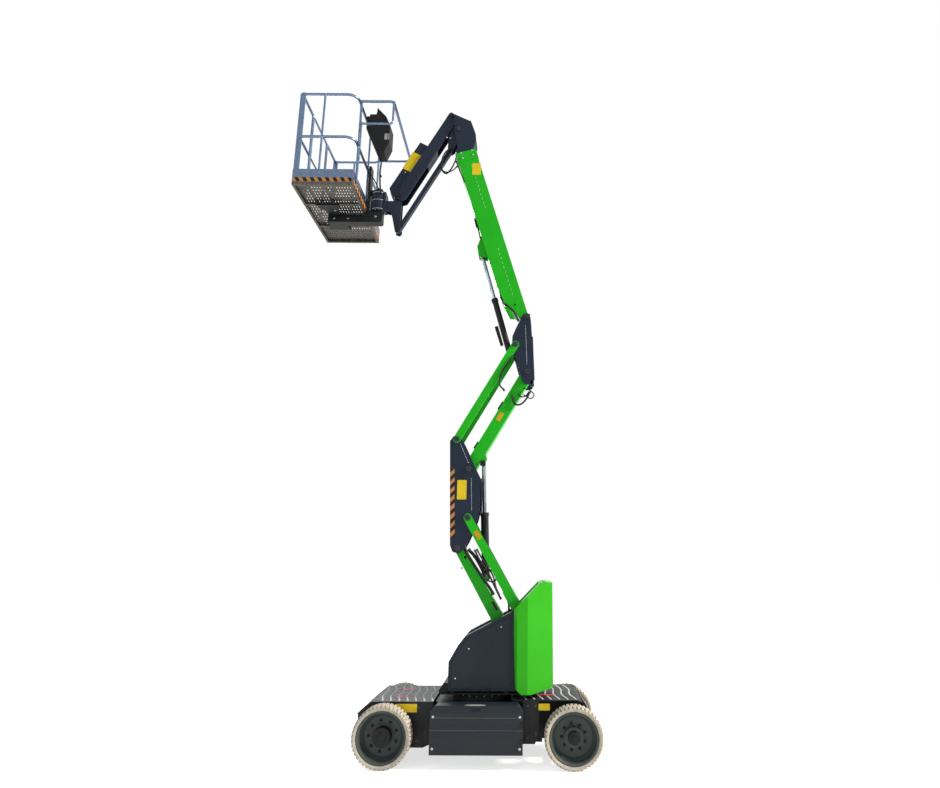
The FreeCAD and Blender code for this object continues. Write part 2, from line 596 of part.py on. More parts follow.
def rail_posts():
    """Flat corner posts on the gate's side, round posts elsewhere, all broken by the rails."""
    z0 = FLOOR_Z + 40
    out = []
    flat = [(PLAT_X0, z0), (PLAT_X0 + POST_W, z0), (PLAT_X0 + POST_W, RAIL_TOP),
            (PLAT_X0 + 22, RAIL_TOP), (PLAT_X0, RAIL_TOP - 22)]
    for y0, y1 in both(RAIL_Y - POST_T / 2, RAIL_Y + POST_T / 2):
        out.append(prism(flat, y0, y1))
    mid = (RAIL_X0 + RAIL_X1) / 2 - 60
    for px, py in ((RAIL_X0, GATE_Y), (RAIL_X1, RAIL_Y - 200), (mid, RAIL_Y)):
        out += [cyl_z(px, -py, 13, z0, RAIL_Z), cyl_z(px, py, 13, z0, RAIL_Z)]
    out.append(cyl_z(RAIL_X1, 0, 13, z0, RAIL_Z))
    hinges = [box(RAIL_X0 - 8, RAIL_X0 + 8, GATE_Y - 17.7, GATE_Y - 5, z, z + 40)
              for z in (FLOOR_Z + 457, FLOOR_Z + 957)]
    return Part.makeCompound(out).fuse(hinges).cut([top_rail(), mid_rail(), toe_board()])


def console_guard():
    """Bar round the console at rail height, with a loop on the near side and a flat outer band."""
    near, far = -620, 715.7
    bar = tube([(RAIL_X1, near, RAIL_Z), (GUARD_X, near, RAIL_Z), (GUARD_X, far - 100, RAIL_Z)],
               TUBE_R, 45)
    curve = tube([(GUARD_X, far - 100.5, RAIL_Z), (GUARD_X, far, RAIL_Z),
                  (RAIL_X1 - 37, far, RAIL_Z)], TUBE_R, 99)
    x0, z0 = RAIL_X1 + 25, RAIL_Z - 325
    loop = tube([(x0, near, RAIL_Z), (x0, near, z0), (GUARD_X, near, z0), (GUARD_X, near, RAIL_Z)],
                14, 45)
    band = box(GUARD_X - 3, GUARD_X + 3, near + 45, far - 110, RAIL_Z - 58, RAIL_Z)
    return fuse(bar, curve, loop, band).cut(top_rail())


def control_console():
    side = around((RAIL_X1, RAIL_Z), [(59, 33), (153, 34), (153, 134), (275, 4), (335, -125),
                                      (335, -375), (275, -525), (175, -525), (64, -272)])
    return fuse(prism(side, -320, -100),
                box(RAIL_X1 + TUBE_R, RAIL_X1 + 75, -300, -120, RAIL_Z - 165, RAIL_TOP))


def platform_gate():
    x, y, z = RAIL_X0, GATE_Y - 30, TOE_Z + 60
    frame = tube([(x, y, RAIL_Z), (x, 2 - y, RAIL_Z), (x, 2 - y, z), (x, y, z)], 14, 50)
    hinge = cyl_z(x, y, 12, z, RAIL_Z)
    mid = Part.makeCylinder(12, 2 * y - 4, V(x, 2 - y, MID_RAIL_Z), V(0, 1, 0))
    return fuse(frame, hinge, mid)


def cylinder(low, top, barrel_len, rod_start, r_barrel, r_rod, half):
    """Barrel and rod of a hydraulic cylinder between two pins."""
    angle = math.degrees(math.atan2(top[1] - low[1], top[0] - low[0]))

    def at(dist):
        return ahead(low, angle, dist)

    body = rod(at(r_barrel * 0.7), at(barrel_len), r_barrel)
    gland = rod(at(barrel_len - 40), at(barrel_len), r_barrel + 5)
    body = fuse(body, gland, cyl_y(*low, r_barrel, -half, half))
    barrel = body.cut(rod(at(60), at(barrel_len + 5), r_rod + PIN_GAP))
    barrel = barrel.cut(cyl_y(*low, 18, -200, 200))
    shaft = rod(at(rod_start), ahead(top, angle, -20), r_rod)
    return barrel, fuse(shaft, cyl_y(*top, r_rod + 8, -half + 4, half - 4))


lift = cylinder(LIFT_LOW, LIFT_TOP, 755, 632, 38, 23, 30)
riser = cylinder(RISER_LOW, RISER_TOP, 745, 660, 46, 24, 30)

NODES = {
    "chassis_frame": chassis_frame(), "side_plates": side_plates(),
    "axle_mounts": axle_mounts(), "tie_down_lugs": tie_down_lugs(), "deck_covers": deck_covers(),
    "battery_boxes": battery_boxes(), "slew_ring": slew_ring(),
    "knuckle_near": knuckle(-1), "knuckle_far": knuckle(1),
    "turntable_base": turntable_base(), "side_cowls": side_cowls(),
    "counterweight": counterweight(), "lower_arm": lower_arm(), "lower_link": lower_link(),
    "mid_upright": mid_upright(), "upper_arm": upper_arm(), "upper_link": upper_link(),
    "upper_upright": upper_upright(), "main_boom": main_boom(), "fly_boom": fly_boom(),
    "boom_nose": boom_nose(),
    "lift_barrel": lift[0], "lift_rod": lift[1], "riser_barrel": riser[0], "riser_rod": riser[1],
    "level_head": level_head(), "jib_arm": jib_arm(), "jib_cover": jib_cover(),
    "jib_link": jib_link(), "level_bracket": level_bracket(),
    "platform_support": platform_support(), "platform_floor": platform_floor(),
    "toe_board": toe_board(), "top_rail": top_rail(), "mid_rail": mid_rail(),
    "rail_posts": rail_posts(),
    "console_guard": console_guard(), "control_console": control_console(),
    "platform_gate": platform_gate(),
}
for end, sx in (("drive", -1), ("steer", 1)):
    for side, sy in (("near", -1), ("far", 1)):
        NODES["tyre_%s_%s" % (end, side)] = tyre(sx, sy)
        NODES["rim_%s_%s" % (end, side)] = rim(sx, sy)

bounds = FreeCAD.BoundBox()
for shape in NODES.values():
    bounds.add(shape.BoundBox)
SHIFT = V(-bounds.Center.x, -bounds.Center.y, -bounds.ZMin)

for name, shape in NODES.items():
    shape.translate(SHIFT)
    shape.exportStep("parts/%s.step" % name)
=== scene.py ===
# %% [markdown]
# # An electric boom lift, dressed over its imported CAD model
# The machine is a narrow articulated lift: four wheels, a slewing turntable, a folding riser, a
# telescopic boom, a jib and a railed work platform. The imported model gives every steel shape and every
# joint. This script adds what is too fine for it, such as welds, bolts, hoses, plates and grating, and
# gives each surface a finish that is made with nodes.

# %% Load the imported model
import json
import math

import bmesh
import bpy
from mathutils import Matrix, Vector


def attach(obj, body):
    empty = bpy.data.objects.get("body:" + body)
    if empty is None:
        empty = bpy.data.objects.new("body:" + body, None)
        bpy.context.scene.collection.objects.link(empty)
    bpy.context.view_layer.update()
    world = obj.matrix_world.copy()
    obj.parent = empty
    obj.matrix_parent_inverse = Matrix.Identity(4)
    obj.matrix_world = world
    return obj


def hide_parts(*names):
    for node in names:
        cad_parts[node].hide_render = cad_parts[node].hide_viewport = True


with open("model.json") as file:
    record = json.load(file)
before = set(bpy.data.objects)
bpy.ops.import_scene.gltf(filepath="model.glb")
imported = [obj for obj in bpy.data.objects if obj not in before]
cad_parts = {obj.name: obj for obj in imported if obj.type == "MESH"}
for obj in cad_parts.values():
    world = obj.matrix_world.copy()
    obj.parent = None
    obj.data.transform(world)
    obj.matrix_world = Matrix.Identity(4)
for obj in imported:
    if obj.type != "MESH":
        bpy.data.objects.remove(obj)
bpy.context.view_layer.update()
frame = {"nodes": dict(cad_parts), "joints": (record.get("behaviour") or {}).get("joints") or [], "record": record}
NODES = frame["nodes"]

# %% [markdown]
# ## Where things are
# The drawing of the machine measures along from its slewing axis, so the pieces here are placed the
# same way. The slewing joint says where that axis is, and each other joint says where its pin is.

# %% Axis and pins
JOINTS = {j["name"]: j for j in frame["joints"]}
SLEW_X = JOINTS["slew"]["pos_m"][0]


def at(x, y, z):
    """A point in millimetres from the slewing axis and the ground, as metres in the frame."""
    return Vector((SLEW_X + x / 1000, y / 1000, z / 1000))


def pin_of(joint):
    """A joint's pin in millimetres from the slewing axis: (x, z)."""
    x, _, z = JOINTS[joint]["pos_m"]
    return ((x - SLEW_X) * 1000, z * 1000)


MID_ARM, TOP_ARM = pin_of("mid_upright_pivot"), pin_of("upper_arm_pivot")
TOP_LINK, END_ARM = pin_of("upper_link_pivot"), pin_of("upper_upright_pivot")
BOOM, HEAD = pin_of("boom_lift"), pin_of("head_level")
JIB, JIB_LINK, JIB_END = pin_of("jib_lift"), pin_of("jib_link_pivot"), pin_of("bracket_level")
ROTOR = pin_of("platform_rotate")
WHEEL_X, WHEEL_Y, WHEEL_R = 972, 608, 300
print("boom pin", BOOM, "head pin", HEAD)

# %% Faces and angles of the arms
# y of each near face from the middle plane, in millimetres, and each arm's angle from level.
BOOM_FACE, JIB_FACE, COVER_FACE, CONSOLE_FACE = -100, -78, -62, -320
LOWER_ARM_FACE, UPPER_ARM_FACE, UPRIGHT_FACE, LINK_FACE = -82, -76, -150, -172
UPRIGHT_PIN_FACE, LINK_PIN_FACE, HEAD_PIN_FACE, NOSE_PIN_FACE = -164, -182, -86, -116
COWL_SIDE, CHASSIS_SIDE, BOX_SIDE = 350, 470, 697
UPPER_ARM_ANGLE, BOOM_ANGLE, LINK_ANGLE, JIB_ANGLE = 60, 107, 122, 241.5
print("arms lean", UPPER_ARM_ANGLE, BOOM_ANGLE, LINK_ANGLE, JIB_ANGLE, "degrees")

# %% [markdown]
# ## Camera
# The photograph was taken from a little over two metres up, about eight metres away, looking up at the
# machine. These numbers come from fitting the wheels, the deck and the platform. The picture was
# cropped, so its optical axis isn't quite in the middle, and the small shift stands for that.

# %% Camera
CAMERA_AT = Vector((SLEW_X + 0.448, -8.083, 2.047))
PITCH, YAW, ROLL = 0.2432, 0.0028, 0.0054
FOCAL_PX, CENTRE_PX, FRAME_PX = 672.7, (526.1, 392.75), (940, 788)


def make_camera():
    forward = Vector((math.sin(YAW) * math.cos(PITCH), math.cos(YAW) * math.cos(PITCH), math.sin(PITCH)))
    level = Vector((math.cos(YAW), -math.sin(YAW), 0))
    lifted = level.cross(forward)
    right = level * math.cos(ROLL) + lifted * math.sin(ROLL)
    up = lifted * math.cos(ROLL) - level * math.sin(ROLL)
    data = bpy.data.cameras.new("camera")
    data.sensor_width = 36
    data.lens = 36 * FOCAL_PX / FRAME_PX[0]
    data.shift_x = (FRAME_PX[0] / 2 - CENTRE_PX[0]) / FRAME_PX[0]
    data.shift_y = (CENTRE_PX[1] - FRAME_PX[1] / 2) / FRAME_PX[0]
    data.clip_end = 200
    camera = bpy.data.objects.new("camera", data)
    turn = Matrix((right, up, -forward)).transposed().to_4x4()
    camera.matrix_world = Matrix.Translation(CAMERA_AT) @ turn
    bpy.context.scene.collection.objects.link(camera)
    bpy.context.scene.camera = camera
    print("lens", round(data.lens, 2), "mm, shift", round(data.shift_x, 4))


make_camera()

# %% [markdown]
# ## Floor, background and lamps
# Catalogue pictures of machines stand on white. The world and the floor are white where the camera, a
# reflection or a window sees them, and light the machine only softly otherwise. One big lamp from the
# right stands for the sun through thin cloud. Two weaker ones fill the left side and the back.

# %% One function that adds a node
def plug(tree, node, inputs):
    """Gives a node its inputs. Each is a value, or the output of another node to link from."""
    for key, value in inputs.items():
        if isinstance(value, bpy.types.NodeSocket):
            tree.links.new(value, node.inputs[key])
        else:
            node.inputs[key].default_value = value


def add(tree, kind, inputs=None, **settings):
    """Adds a node to a tree, with its settings and inputs."""
    node = tree.nodes.new(kind)
    for key, value in settings.items():
        setattr(node, key, value)
    plug(tree, node, inputs or {})
    return node


def linear(hex_colour):
    """An sRGB hex colour as the linear colour that shaders use."""
    channels = [int(hex_colour[i:i + 2], 16) / 255 for i in (1, 3, 5)]
    return tuple(c / 12.92 if c <= 0.04045 else ((c + 0.055) / 1.055) ** 2.4 for c in channels) + (1.0,)


# %% World and floor
DIFFUSE_SKY, PAPER_GLOW = 0.4, 0.68
FLOOR_HALF = 60


def seen_directly(tree):
    """1 for camera, glossy and transmission rays, and 0 for the rays that light the machine."""
    path = add(tree, "ShaderNodeLightPath")
    both = add(tree, "ShaderNodeMath", {0: path.outputs["Is Camera Ray"], 1: path.outputs["Is Glossy Ray"]},
               operation="MAXIMUM")
    return add(tree, "ShaderNodeMath", {0: both.outputs[0], 1: path.outputs["Is Transmission Ray"]},
               operation="MAXIMUM").outputs[0]


def make_world():
    world = bpy.data.worlds.new("studio")
    world.use_nodes = True
    tree = world.node_tree
    tree.nodes.clear()
    strength = add(tree, "ShaderNodeMapRange", {"Value": seen_directly(tree), "To Min": DIFFUSE_SKY,
                                                "To Max": 1.0})
    sky = add(tree, "ShaderNodeBackground", {"Color": linear("#FFFFFF"), "Strength": strength.outputs[0]})
    add(tree, "ShaderNodeOutputWorld", {"Surface": sky.outputs[0]})
    bpy.context.scene.world = world


def make_floor():
    mesh = bpy.data.meshes.new("floor")
    corners = [(x * FLOOR_HALF, y * FLOOR_HALF, 0) for x, y in ((-1, -1), (1, -1), (1, 1), (-1, 1))]
    mesh.from_pydata(corners, [], [(0, 1, 2, 3)])
    floor = bpy.data.objects.new("floor", mesh)
    bpy.context.scene.collection.objects.link(floor)
    paper = bpy.data.materials.new("white_backdrop_paper")
    paper.use_nodes = True
    tree = paper.node_tree
    tree.nodes.clear()
    matt = add(tree, "ShaderNodeBsdfDiffuse", {"Color": linear("#F4F4F2")})
    glow = add(tree, "ShaderNodeEmission", {"Color": linear("#FFFFFF"), "Strength": PAPER_GLOW})
    lit = add(tree, "ShaderNodeAddShader", {0: matt.outputs[0], 1: glow.outputs[0]})
    mix = add(tree, "ShaderNodeMixShader", {0: seen_directly(tree), 1: matt.outputs[0], 2: lit.outputs[0]})
    add(tree, "ShaderNodeOutputMaterial", {"Surface": mix.outputs[0]})
    mesh.materials.append(paper)


make_world()
make_floor()
print("white floor and sky")

# %% Lamps
def make_lamp(name, place, aim, size, watts, colour="#FFFFFF"):
    data = bpy.data.lights.new(name, "AREA")
    data.shape, data.size, data.energy = "DISK", size, watts
    data.color = linear(colour)[:3]
    lamp = bpy.data.objects.new(name, data)
    lamp.location = place
    lamp.rotation_mode = "QUATERNION"
    lamp.rotation_quaternion = (Vector(aim) - Vector(place)).to_track_quat("-Z", "Y")
    bpy.context.scene.collection.objects.link(lamp)


make_lamp("sun_side", (14.0, -3.0, 10.0), (0.3, 0, 3.4), 3.0, 4300, "#FFF8EE")
make_lamp("fill_side", (-9.0, -9.0, 6.0), (0, 0, 3.5), 6.0, 260, "#EEF4FF")
make_lamp("back_side", (-3.0, 10.0, 9.0), (0, 0, 4.0), 5.0, 500, "#FFFFFF")
bpy.context.scene.view_settings.view_transform = "Standard"
print("three lamps")

# %% [markdown]
# ## Paint on steel
# Nearly everything is sheet and plate that was welded, then powder coated. The powder melts into a
# smooth skin with a faint orange peel, which breaks up reflections, and dust dulls it in soft patches.
# Real peel is about 2 mm from bump to bump. It is drawn at 7 mm here, so that it still shows. One
# function makes every coat, because only colour, gloss and dust differ.

# %% Powder coat
def shader(name):
    """A new material with a principled shader and an output: returns material, tree and shader."""
    material = bpy.data.materials.new(name)
    material.use_nodes = True
    tree = material.node_tree
    tree.nodes.clear()
    surface = add(tree, "ShaderNodeBsdfPrincipled")
    add(tree, "ShaderNodeOutputMaterial", {"Surface": surface.outputs[0]})
    return material, tree, surface


def object_place(tree):
    """Object coordinates in metres, so that a pattern keeps its real size on every piece."""
    return add(tree, "ShaderNodeTexCoord").outputs["Object"]


def noise(tree, size_mm, detail=2.0, roughness=0.5):
    """Noise whose blobs are about that many millimetres across."""
    return add(tree, "ShaderNodeTexNoise", {"Vector": object_place(tree), "Scale": 1000 / size_mm,
                                            "Detail": detail, "Roughness": roughness}).outputs["Fac"]


def ramp(tree, factor, low, high, start=0.3, end=0.7):
    """A smooth change between two colours as a factor goes from start to end."""
    node = add(tree, "ShaderNodeValToRGB", {"Fac": factor})
    node.color_ramp.elements[0].position, node.color_ramp.elements[1].position = start, end
    node.color_ramp.elements[0].color, node.color_ramp.elements[1].color = low, high
    return node.outputs["Color"]


def span(tree, factor, low, high, start=0.0, end=1.0):
    """A number that goes from low to high as a factor goes from start to end."""
    return add(tree, "ShaderNodeMapRange", {"Value": factor, "From Min": start, "From Max": end,
                                            "To Min": low, "To Max": high}).outputs[0]


def bump(tree, height, depth_mm):
    """Small hills where the height is 1, as a bent normal."""
    return add(tree, "ShaderNodeBump", {"Height": height, "Distance": depth_mm / 1000,
                                        "Strength": 1.0}).outputs["Normal"]


DUST_MM, SHEEN_MM, PEEL_MM = 420, 60, 7
PAINT_GLOSS = 0.2


def powder_coat(name, colour, dusty, rough=(0.26, 0.4), peel_deep_mm=0.012):
    """Paint that is a little paler in dusty patches, with a sheen that drifts and a faint peel."""
    material, tree, surface = shader(name)
    patches = noise(tree, DUST_MM, 4.0, 0.6)
    plug(tree, surface, {
        "Base Color": ramp(tree, patches, linear(colour), linear(dusty), 0.35, 0.75),
        "Roughness": span(tree, noise(tree, SHEEN_MM, 3.0), rough[0], rough[1], 0.3, 0.7),
        "Normal": bump(tree, noise(tree, PEEL_MM), peel_deep_mm),
        "Specular IOR Level": PAINT_GLOSS})
    return material


GREEN = powder_coat("green_powder_coated_steel", "#18A013", "#1EA818", (0.26, 0.38))
WEIGHT_GREEN = powder_coat("green_cast_counterweight_paint", "#2AA00E", "#31A813", (0.3, 0.42), 0.02)
# A paler green for the boom's weld beads: a painted highlight where each bead catches the light.
SEAM = powder_coat("pale_green_painted_weld_highlight", "#79C673", "#93D28D", (0.3, 0.42))
SLATE = powder_coat("slate_powder_coated_steel", "#172131", "#1C2637", (0.3, 0.44))
COWLING = powder_coat("slate_moulded_cowl_paint", "#18222B", "#1D2731", (0.36, 0.48))
BLACK = powder_coat("black_chassis_paint", "#121416", "#181A1C", (0.38, 0.54))
BOX_PAINT = powder_coat("slate_battery_box_paint", "#1C2229", "#21272E", (0.34, 0.48))
RIM = powder_coat("grey_green_wheel_paint", "#3A4342", "#434C49", (0.38, 0.5))
print("paints made")

# %% [markdown]
# ## Metals, rubber and plastic
# The platform is hot-dip galvanised: zinc freezes in crystals of about 12 mm, each of a slightly other
# grey, with a blue tint over that grey that is a painted reflection of a blue sky. Cylinder rods are hard
# chrome, wiped clean by their seals. Tyres are non-marking, so they are
# beige-grey instead of black, and their tread is paler where it rubs on concrete. Hoses have a matt black
# cover, the console is moulded plastic and the hubs are castings, each with a finer or coarser grain. A
# grain under 2 mm wouldn't show, so the finest one is drawn at 2 mm.

# %% Galvanised steel and chrome
def crystals(tree, size_mm):
    """A random grey for each zinc crystal of about that size."""
    cell = add(tree, "ShaderNodeTexVoronoi", {"Vector": object_place(tree), "Scale": 1000 / size_mm,
                                              "Randomness": 1.0}).outputs["Color"]
    return add(tree, "ShaderNodeSeparateColor", {"Color": cell}).outputs["Red"]


CRYSTAL_MM, HAZE_MM = 12, 90
WIPE_MM, SHADE_MM = 30, 120


def galvanised(name, dark, light, rough=(0.3, 0.48)):
    """Bare zinc: each crystal has its own grey and stands a little proud, and haze drifts over them."""
    material, tree, surface = shader(name)
    grain = crystals(tree, CRYSTAL_MM)
    plug(tree, surface, {
        "Base Color": ramp(tree, grain, linear(dark), linear(light), 0.1, 0.9),
        "Roughness": span(tree, noise(tree, HAZE_MM, 3.0), rough[0], rough[1], 0.3, 0.7),
        "Normal": bump(tree, grain, 0.02),
        "Metallic": 1.0})
    return material


def chrome():
    """A mirror with a trace of oil film, which makes it a little duller in places."""
    material, tree, surface = shader("hard_chrome_rod")
    plug(tree, surface, {
        "Base Color": ramp(tree, noise(tree, SHADE_MM), linear("#7C8795"), linear("#A2ACB8")),
        "Roughness": span(tree, noise(tree, WIPE_MM, 3.0), 0.06, 0.16, 0.3, 0.7),
        "Metallic": 1.0})
    return material


# The blue tint of both zinc colours is a painted reflection of a blue sky, over the zinc's own grey.
ZINC = galvanised("hot_dip_galvanised_tube_painted_sky_tint", "#5D708D", "#6F829D", (0.24, 0.4))
ZINC_PLATE = galvanised("galvanised_toe_board_painted_sky_tint", "#5C6C85", "#6E7F97", (0.32, 0.48))
BOLT = galvanised("zinc_plated_bolt", "#8D9092", "#B4B6B8", (0.25, 0.4))
CHROME = chrome()


# %% Rubber, hose and console plastic
def matt(name, dark, light, patch_mm, rough, grain_mm, depth_mm, gloss=PAINT_GLOSS):
    """A dull non-metal whose colour drifts in patches, over a fine grain."""
    material, tree, surface = shader(name)
    plug(tree, surface, {
        "Base Color": ramp(tree, noise(tree, patch_mm, 4.0, 0.6), linear(dark), linear(light)),
        "Roughness": span(tree, noise(tree, patch_mm / 3), rough - 0.06, rough + 0.06, 0.3, 0.7),
        "Normal": bump(tree, noise(tree, grain_mm, 3.0), depth_mm),
        "Specular IOR Level": gloss})
    return material


RUBBER = matt("non_marking_tyre_rubber", "#8F887D", "#AFA79B", 90, 0.78, 5, 0.12)
TREAD = matt("tread_rubber_rubbed_pale", "#A39B8E", "#C2BAAD", 60, 0.82, 4, 0.15)
HOSE = matt("black_hose_cover", "#0A0B0C", "#131416", 40, 0.55, 3, 0.05)
PLASTIC = matt("console_moulded_plastic", "#0C0D10", "#141619", 80, 0.5, 2, 0.06)
PIN_END = matt("blackened_pin_end", "#141920", "#1D242D", 30, 0.42, 4, 0.05, 0.4)
HUB = matt("black_hub_casting", "#0D0E0F", "#17181A", 70, 0.5, 6, 0.2)
LABEL_YELLOW = matt("blank_yellow_plate", "#C9AE16", "#D9C02A", 120, 0.42, 30, 0.01)
LABEL_ORANGE = matt("blank_amber_plate", "#B4851C", "#C79A28", 120, 0.42, 30, 0.01)
LABEL_GREY = matt("blank_grey_label", "#8E9294", "#A3A7A8", 120, 0.45, 30, 0.01)
RED_PAINT = matt("red_arrow_paint", "#B93344", "#D0485A", 60, 0.5, 8, 0.02)
# The pale wavy strips on the decks are painted reflections, drawn with a gritty grain.
DECK_REFLECTION_PAINT = matt("pale_painted_deck_reflection", "#9DA2A4", "#C6CACB", 14, 0.85, 2, 0.3)
print("metals, rubber and plastic made")


# %% [markdown]
# ## Hazard tape and pierced floor
# The striped tape on the toe board and on the upright is one sheet with slanted bars, so the bars are a
# pattern across the tape: a straight ramp along it, shifted with height, cut in half again and again.
# The floor plate is pierced with rows of short slots, and light shows through them from below.

# %% Striped tape
TAPE_AMBER, TAPE_BLACK = "#B5793A", "#0E1013"


def striped(name, weights, period_mm, shift=0.0):
    """Slanted bars. The weights of x, y and z say which way they are counted, a bar and a gap a period."""
    material, tree, surface = shader(name)
    count = add(tree, "ShaderNodeVectorMath", {0: object_place(tree),
                                               1: Vector(weights) * (1000 / period_mm)},
                operation="DOT_PRODUCT").outputs["Value"]
    moved = add(tree, "ShaderNodeMath", {0: count, 1: shift}, operation="ADD").outputs[0]
    part = add(tree, "ShaderNodeMath", {0: moved}, operation="FRACT").outputs[0]
    plug(tree, surface, {
        "Base Color": ramp(tree, part, linear(TAPE_AMBER), linear(TAPE_BLACK), 0.49, 0.51),
        "Roughness": span(tree, noise(tree, 30, 3.0), 0.4, 0.6, 0.3, 0.7),
        "Specular IOR Level": PAINT_GLOSS})
    return material


TAPE_LONG = striped("hazard_tape_along_the_side", (1, 0, 0.55), 92)
TAPE_END = striped("hazard_tape_along_the_end", (0, 1, 0.55), 92)
TAPE_UPRIGHT = striped("hazard_tape_on_the_upright", (-1, 0, 1), 103, 0.35)
print("tape made")

# %% Pierced floor plate
# Middle and half size of the plate alone, and the slots' pitch and share of it, along x and y.
PLATE_AT, PLATE_HALF = at(-2019, 0, 6480), (0.336, 0.742, 0.008)
SLOT_PITCH_MM, SLOT_SHARE = (34, 66), (0.36, 0.56)


def inside(tree, centre, half):
    """1 where the place is in a box round a centre, and 0 outside; all in metres."""
    away = add(tree, "ShaderNodeVectorMath", {0: object_place(tree), 1: centre}, operation="SUBTRACT")
    size = add(tree, "ShaderNodeVectorMath", {0: away.outputs["Vector"]}, operation="ABSOLUTE")
    share = add(tree, "ShaderNodeVectorMath", {0: size.outputs["Vector"], 1: half}, operation="DIVIDE")
    x, y, z = add(tree, "ShaderNodeSeparateXYZ", {0: share.outputs["Vector"]}).outputs
    most = add(tree, "ShaderNodeMath", {0: x, 1: y}, operation="MAXIMUM").outputs[0]
    most = add(tree, "ShaderNodeMath", {0: most, 1: z}, operation="MAXIMUM").outputs[0]
    return add(tree, "ShaderNodeMath", {0: most, 1: 1.0}, operation="LESS_THAN").outputs[0]


def pierced(name):
    """Dull galvanised plate, in a darker grey that is painted shade under the floor, with rows of short slots;
    only the plate has them, not the frame round it.
    """
    # This darker, brownish grey paints the shade that the floor's underside is in.
    material = galvanised(name, "#4A463E", "#67635A", (0.4, 0.6))
    tree = material.node_tree
    surface = next(n for n in tree.nodes if n.type == "BSDF_PRINCIPLED")
    out = next(n for n in tree.nodes if n.type == "OUTPUT_MATERIAL")
    rows = Vector((1000 / SLOT_PITCH_MM[0], 1000 / SLOT_PITCH_MM[1], 0))
    cells = add(tree, "ShaderNodeVectorMath", {0: object_place(tree), 1: rows}, operation="MULTIPLY")
    part = add(tree, "ShaderNodeVectorMath", {0: cells.outputs["Vector"]}, operation="FRACTION")
    x, y, _ = add(tree, "ShaderNodeSeparateXYZ", {0: part.outputs["Vector"]}).outputs
    across = add(tree, "ShaderNodeMath", {0: x, 1: SLOT_SHARE[0]}, operation="LESS_THAN").outputs[0]
    length = add(tree, "ShaderNodeMath", {0: y, 1: SLOT_SHARE[1]}, operation="LESS_THAN").outputs[0]
    slot = add(tree, "ShaderNodeMath", {0: across, 1: length}, operation="MULTIPLY").outputs[0]
    plate = inside(tree, PLATE_AT, PLATE_HALF)
    hole = add(tree, "ShaderNodeMath", {0: slot, 1: plate}, operation="MULTIPLY").outputs[0]
    clear = add(tree, "ShaderNodeBsdfTransparent")
    mix = add(tree, "ShaderNodeMixShader", {0: hole, 1: surface.outputs[0], 2: clear.outputs[0]})
    tree.links.new(mix.outputs[0], out.inputs["Surface"])
    return material


PIERCED = pierced("pierced_floor_plate_painted_shade")
print("pierced plate made")

# %% [markdown]
# ## Coats on the CAD pieces
# Every CAD node gets one of the finishes above: most by the material that the record gives them, and a
# few by name. Their shapes stay, and only the tyres' are replaced further on.

# %% Finishes by node
BY_NODE = {"side_cowls": COWLING, "counterweight": WEIGHT_GREEN, "battery_boxes": BOX_PAINT,
           "platform_floor": PIERCED, "toe_board": ZINC_PLATE, "control_console": PLASTIC,
           "lift_rod": CHROME, "riser_rod": CHROME, "lift_barrel": BLACK, "riser_barrel": BLACK}
BY_SLOT = {"green_steel": GREEN, "dark_steel": SLATE, "black_steel": BLACK, "rim_paint": RIM,
           "galvanised": ZINC, "chrome": CHROME, "console": PLASTIC, "solid_tyre": RUBBER}
SLOT_OF = {part["node"]: part["material_slot"] for part in frame["record"]["subparts"]}
for name, node in NODES.items():
    finish = BY_NODE.get(name, BY_SLOT[SLOT_OF[name]])
    for i in range(len(node.data.materials)):
        node.data.materials[i] = finish
print(len(NODES), "nodes dressed")

# %% [markdown]
# ## Ways to make a piece
# Three forms make nearly all the detail: a flat outline that is pushed out, a half section that is turned
# about an axis, and a round bar that follows a smooth line. Each is a row of rings with a skin over them,
# so one helper joins rings. Each form adds to a mesh in the making, so a piece can hold many. Then the
# piece rides the body it is fixed to.

# %% From a mesh to a piece
NEAR, UP, DOWN = Vector((0, -1, 0)), Vector((0, 0, 1)), Vector((0, 0, -1))
SHARP_FROM = math.radians(35)


def piece(name, body, material, build, bevel_mm=0.0):
    """Makes an object from what build adds to an empty mesh, rounds its edges, and fixes it to a body."""
    bm = bmesh.new()
    build(bm)
    bmesh.ops.remove_doubles(bm, verts=bm.verts, dist=1e-6)
    bmesh.ops.recalc_face_normals(bm, faces=bm.faces)
    mesh = bpy.data.meshes.new(name)
    bm.to_mesh(mesh)
    bm.free()
    mesh.materials.append(material)
    mesh.shade_smooth()
    mesh.set_sharp_from_angle(angle=SHARP_FROM)
    made = bpy.data.objects.new(name, mesh)
    bpy.context.scene.collection.objects.link(made)
    if bevel_mm:
        soften = made.modifiers.new("rounded edges", "BEVEL")
        soften.width, soften.segments, soften.limit_method = bevel_mm / 1000, 2, "ANGLE"
        soften.angle_limit = SHARP_FROM
    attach(made, body)
    return made


# %% Rings, and what is pushed out or turned
def skin(bm, rings, ends="closed"):
    """Joins rings of points in millimetres. The ends are closed by a face, left open or joined."""
    made = [[bm.verts.new(at(*point)) for point in ring] for ring in rings]
    after = made[1:] + (made[:1] if ends == "joined" else [])
    for a, b in zip(made, after):
        for i in range(len(a)):
            j = (i + 1) % len(a)
            bm.faces.new((a[i], a[j], b[j], b[i]))
    if ends == "closed":
        bm.faces.new(made[0][::-1])
        bm.faces.new(made[-1])


def prism(bm, outline, y0, y1):
    """A flat outline of (x, z) points, pushed out from y0 to y1."""
    skin(bm, [[(x, y, z) for x, z in outline] for y in (y0, y1)])


def slab(bm, outline, z0, z1):
    """A flat outline of (x, y) points, pushed up from z0 to z1."""
    skin(bm, [[(x, y, z) for x, y in outline] for z in (z0, z1)])


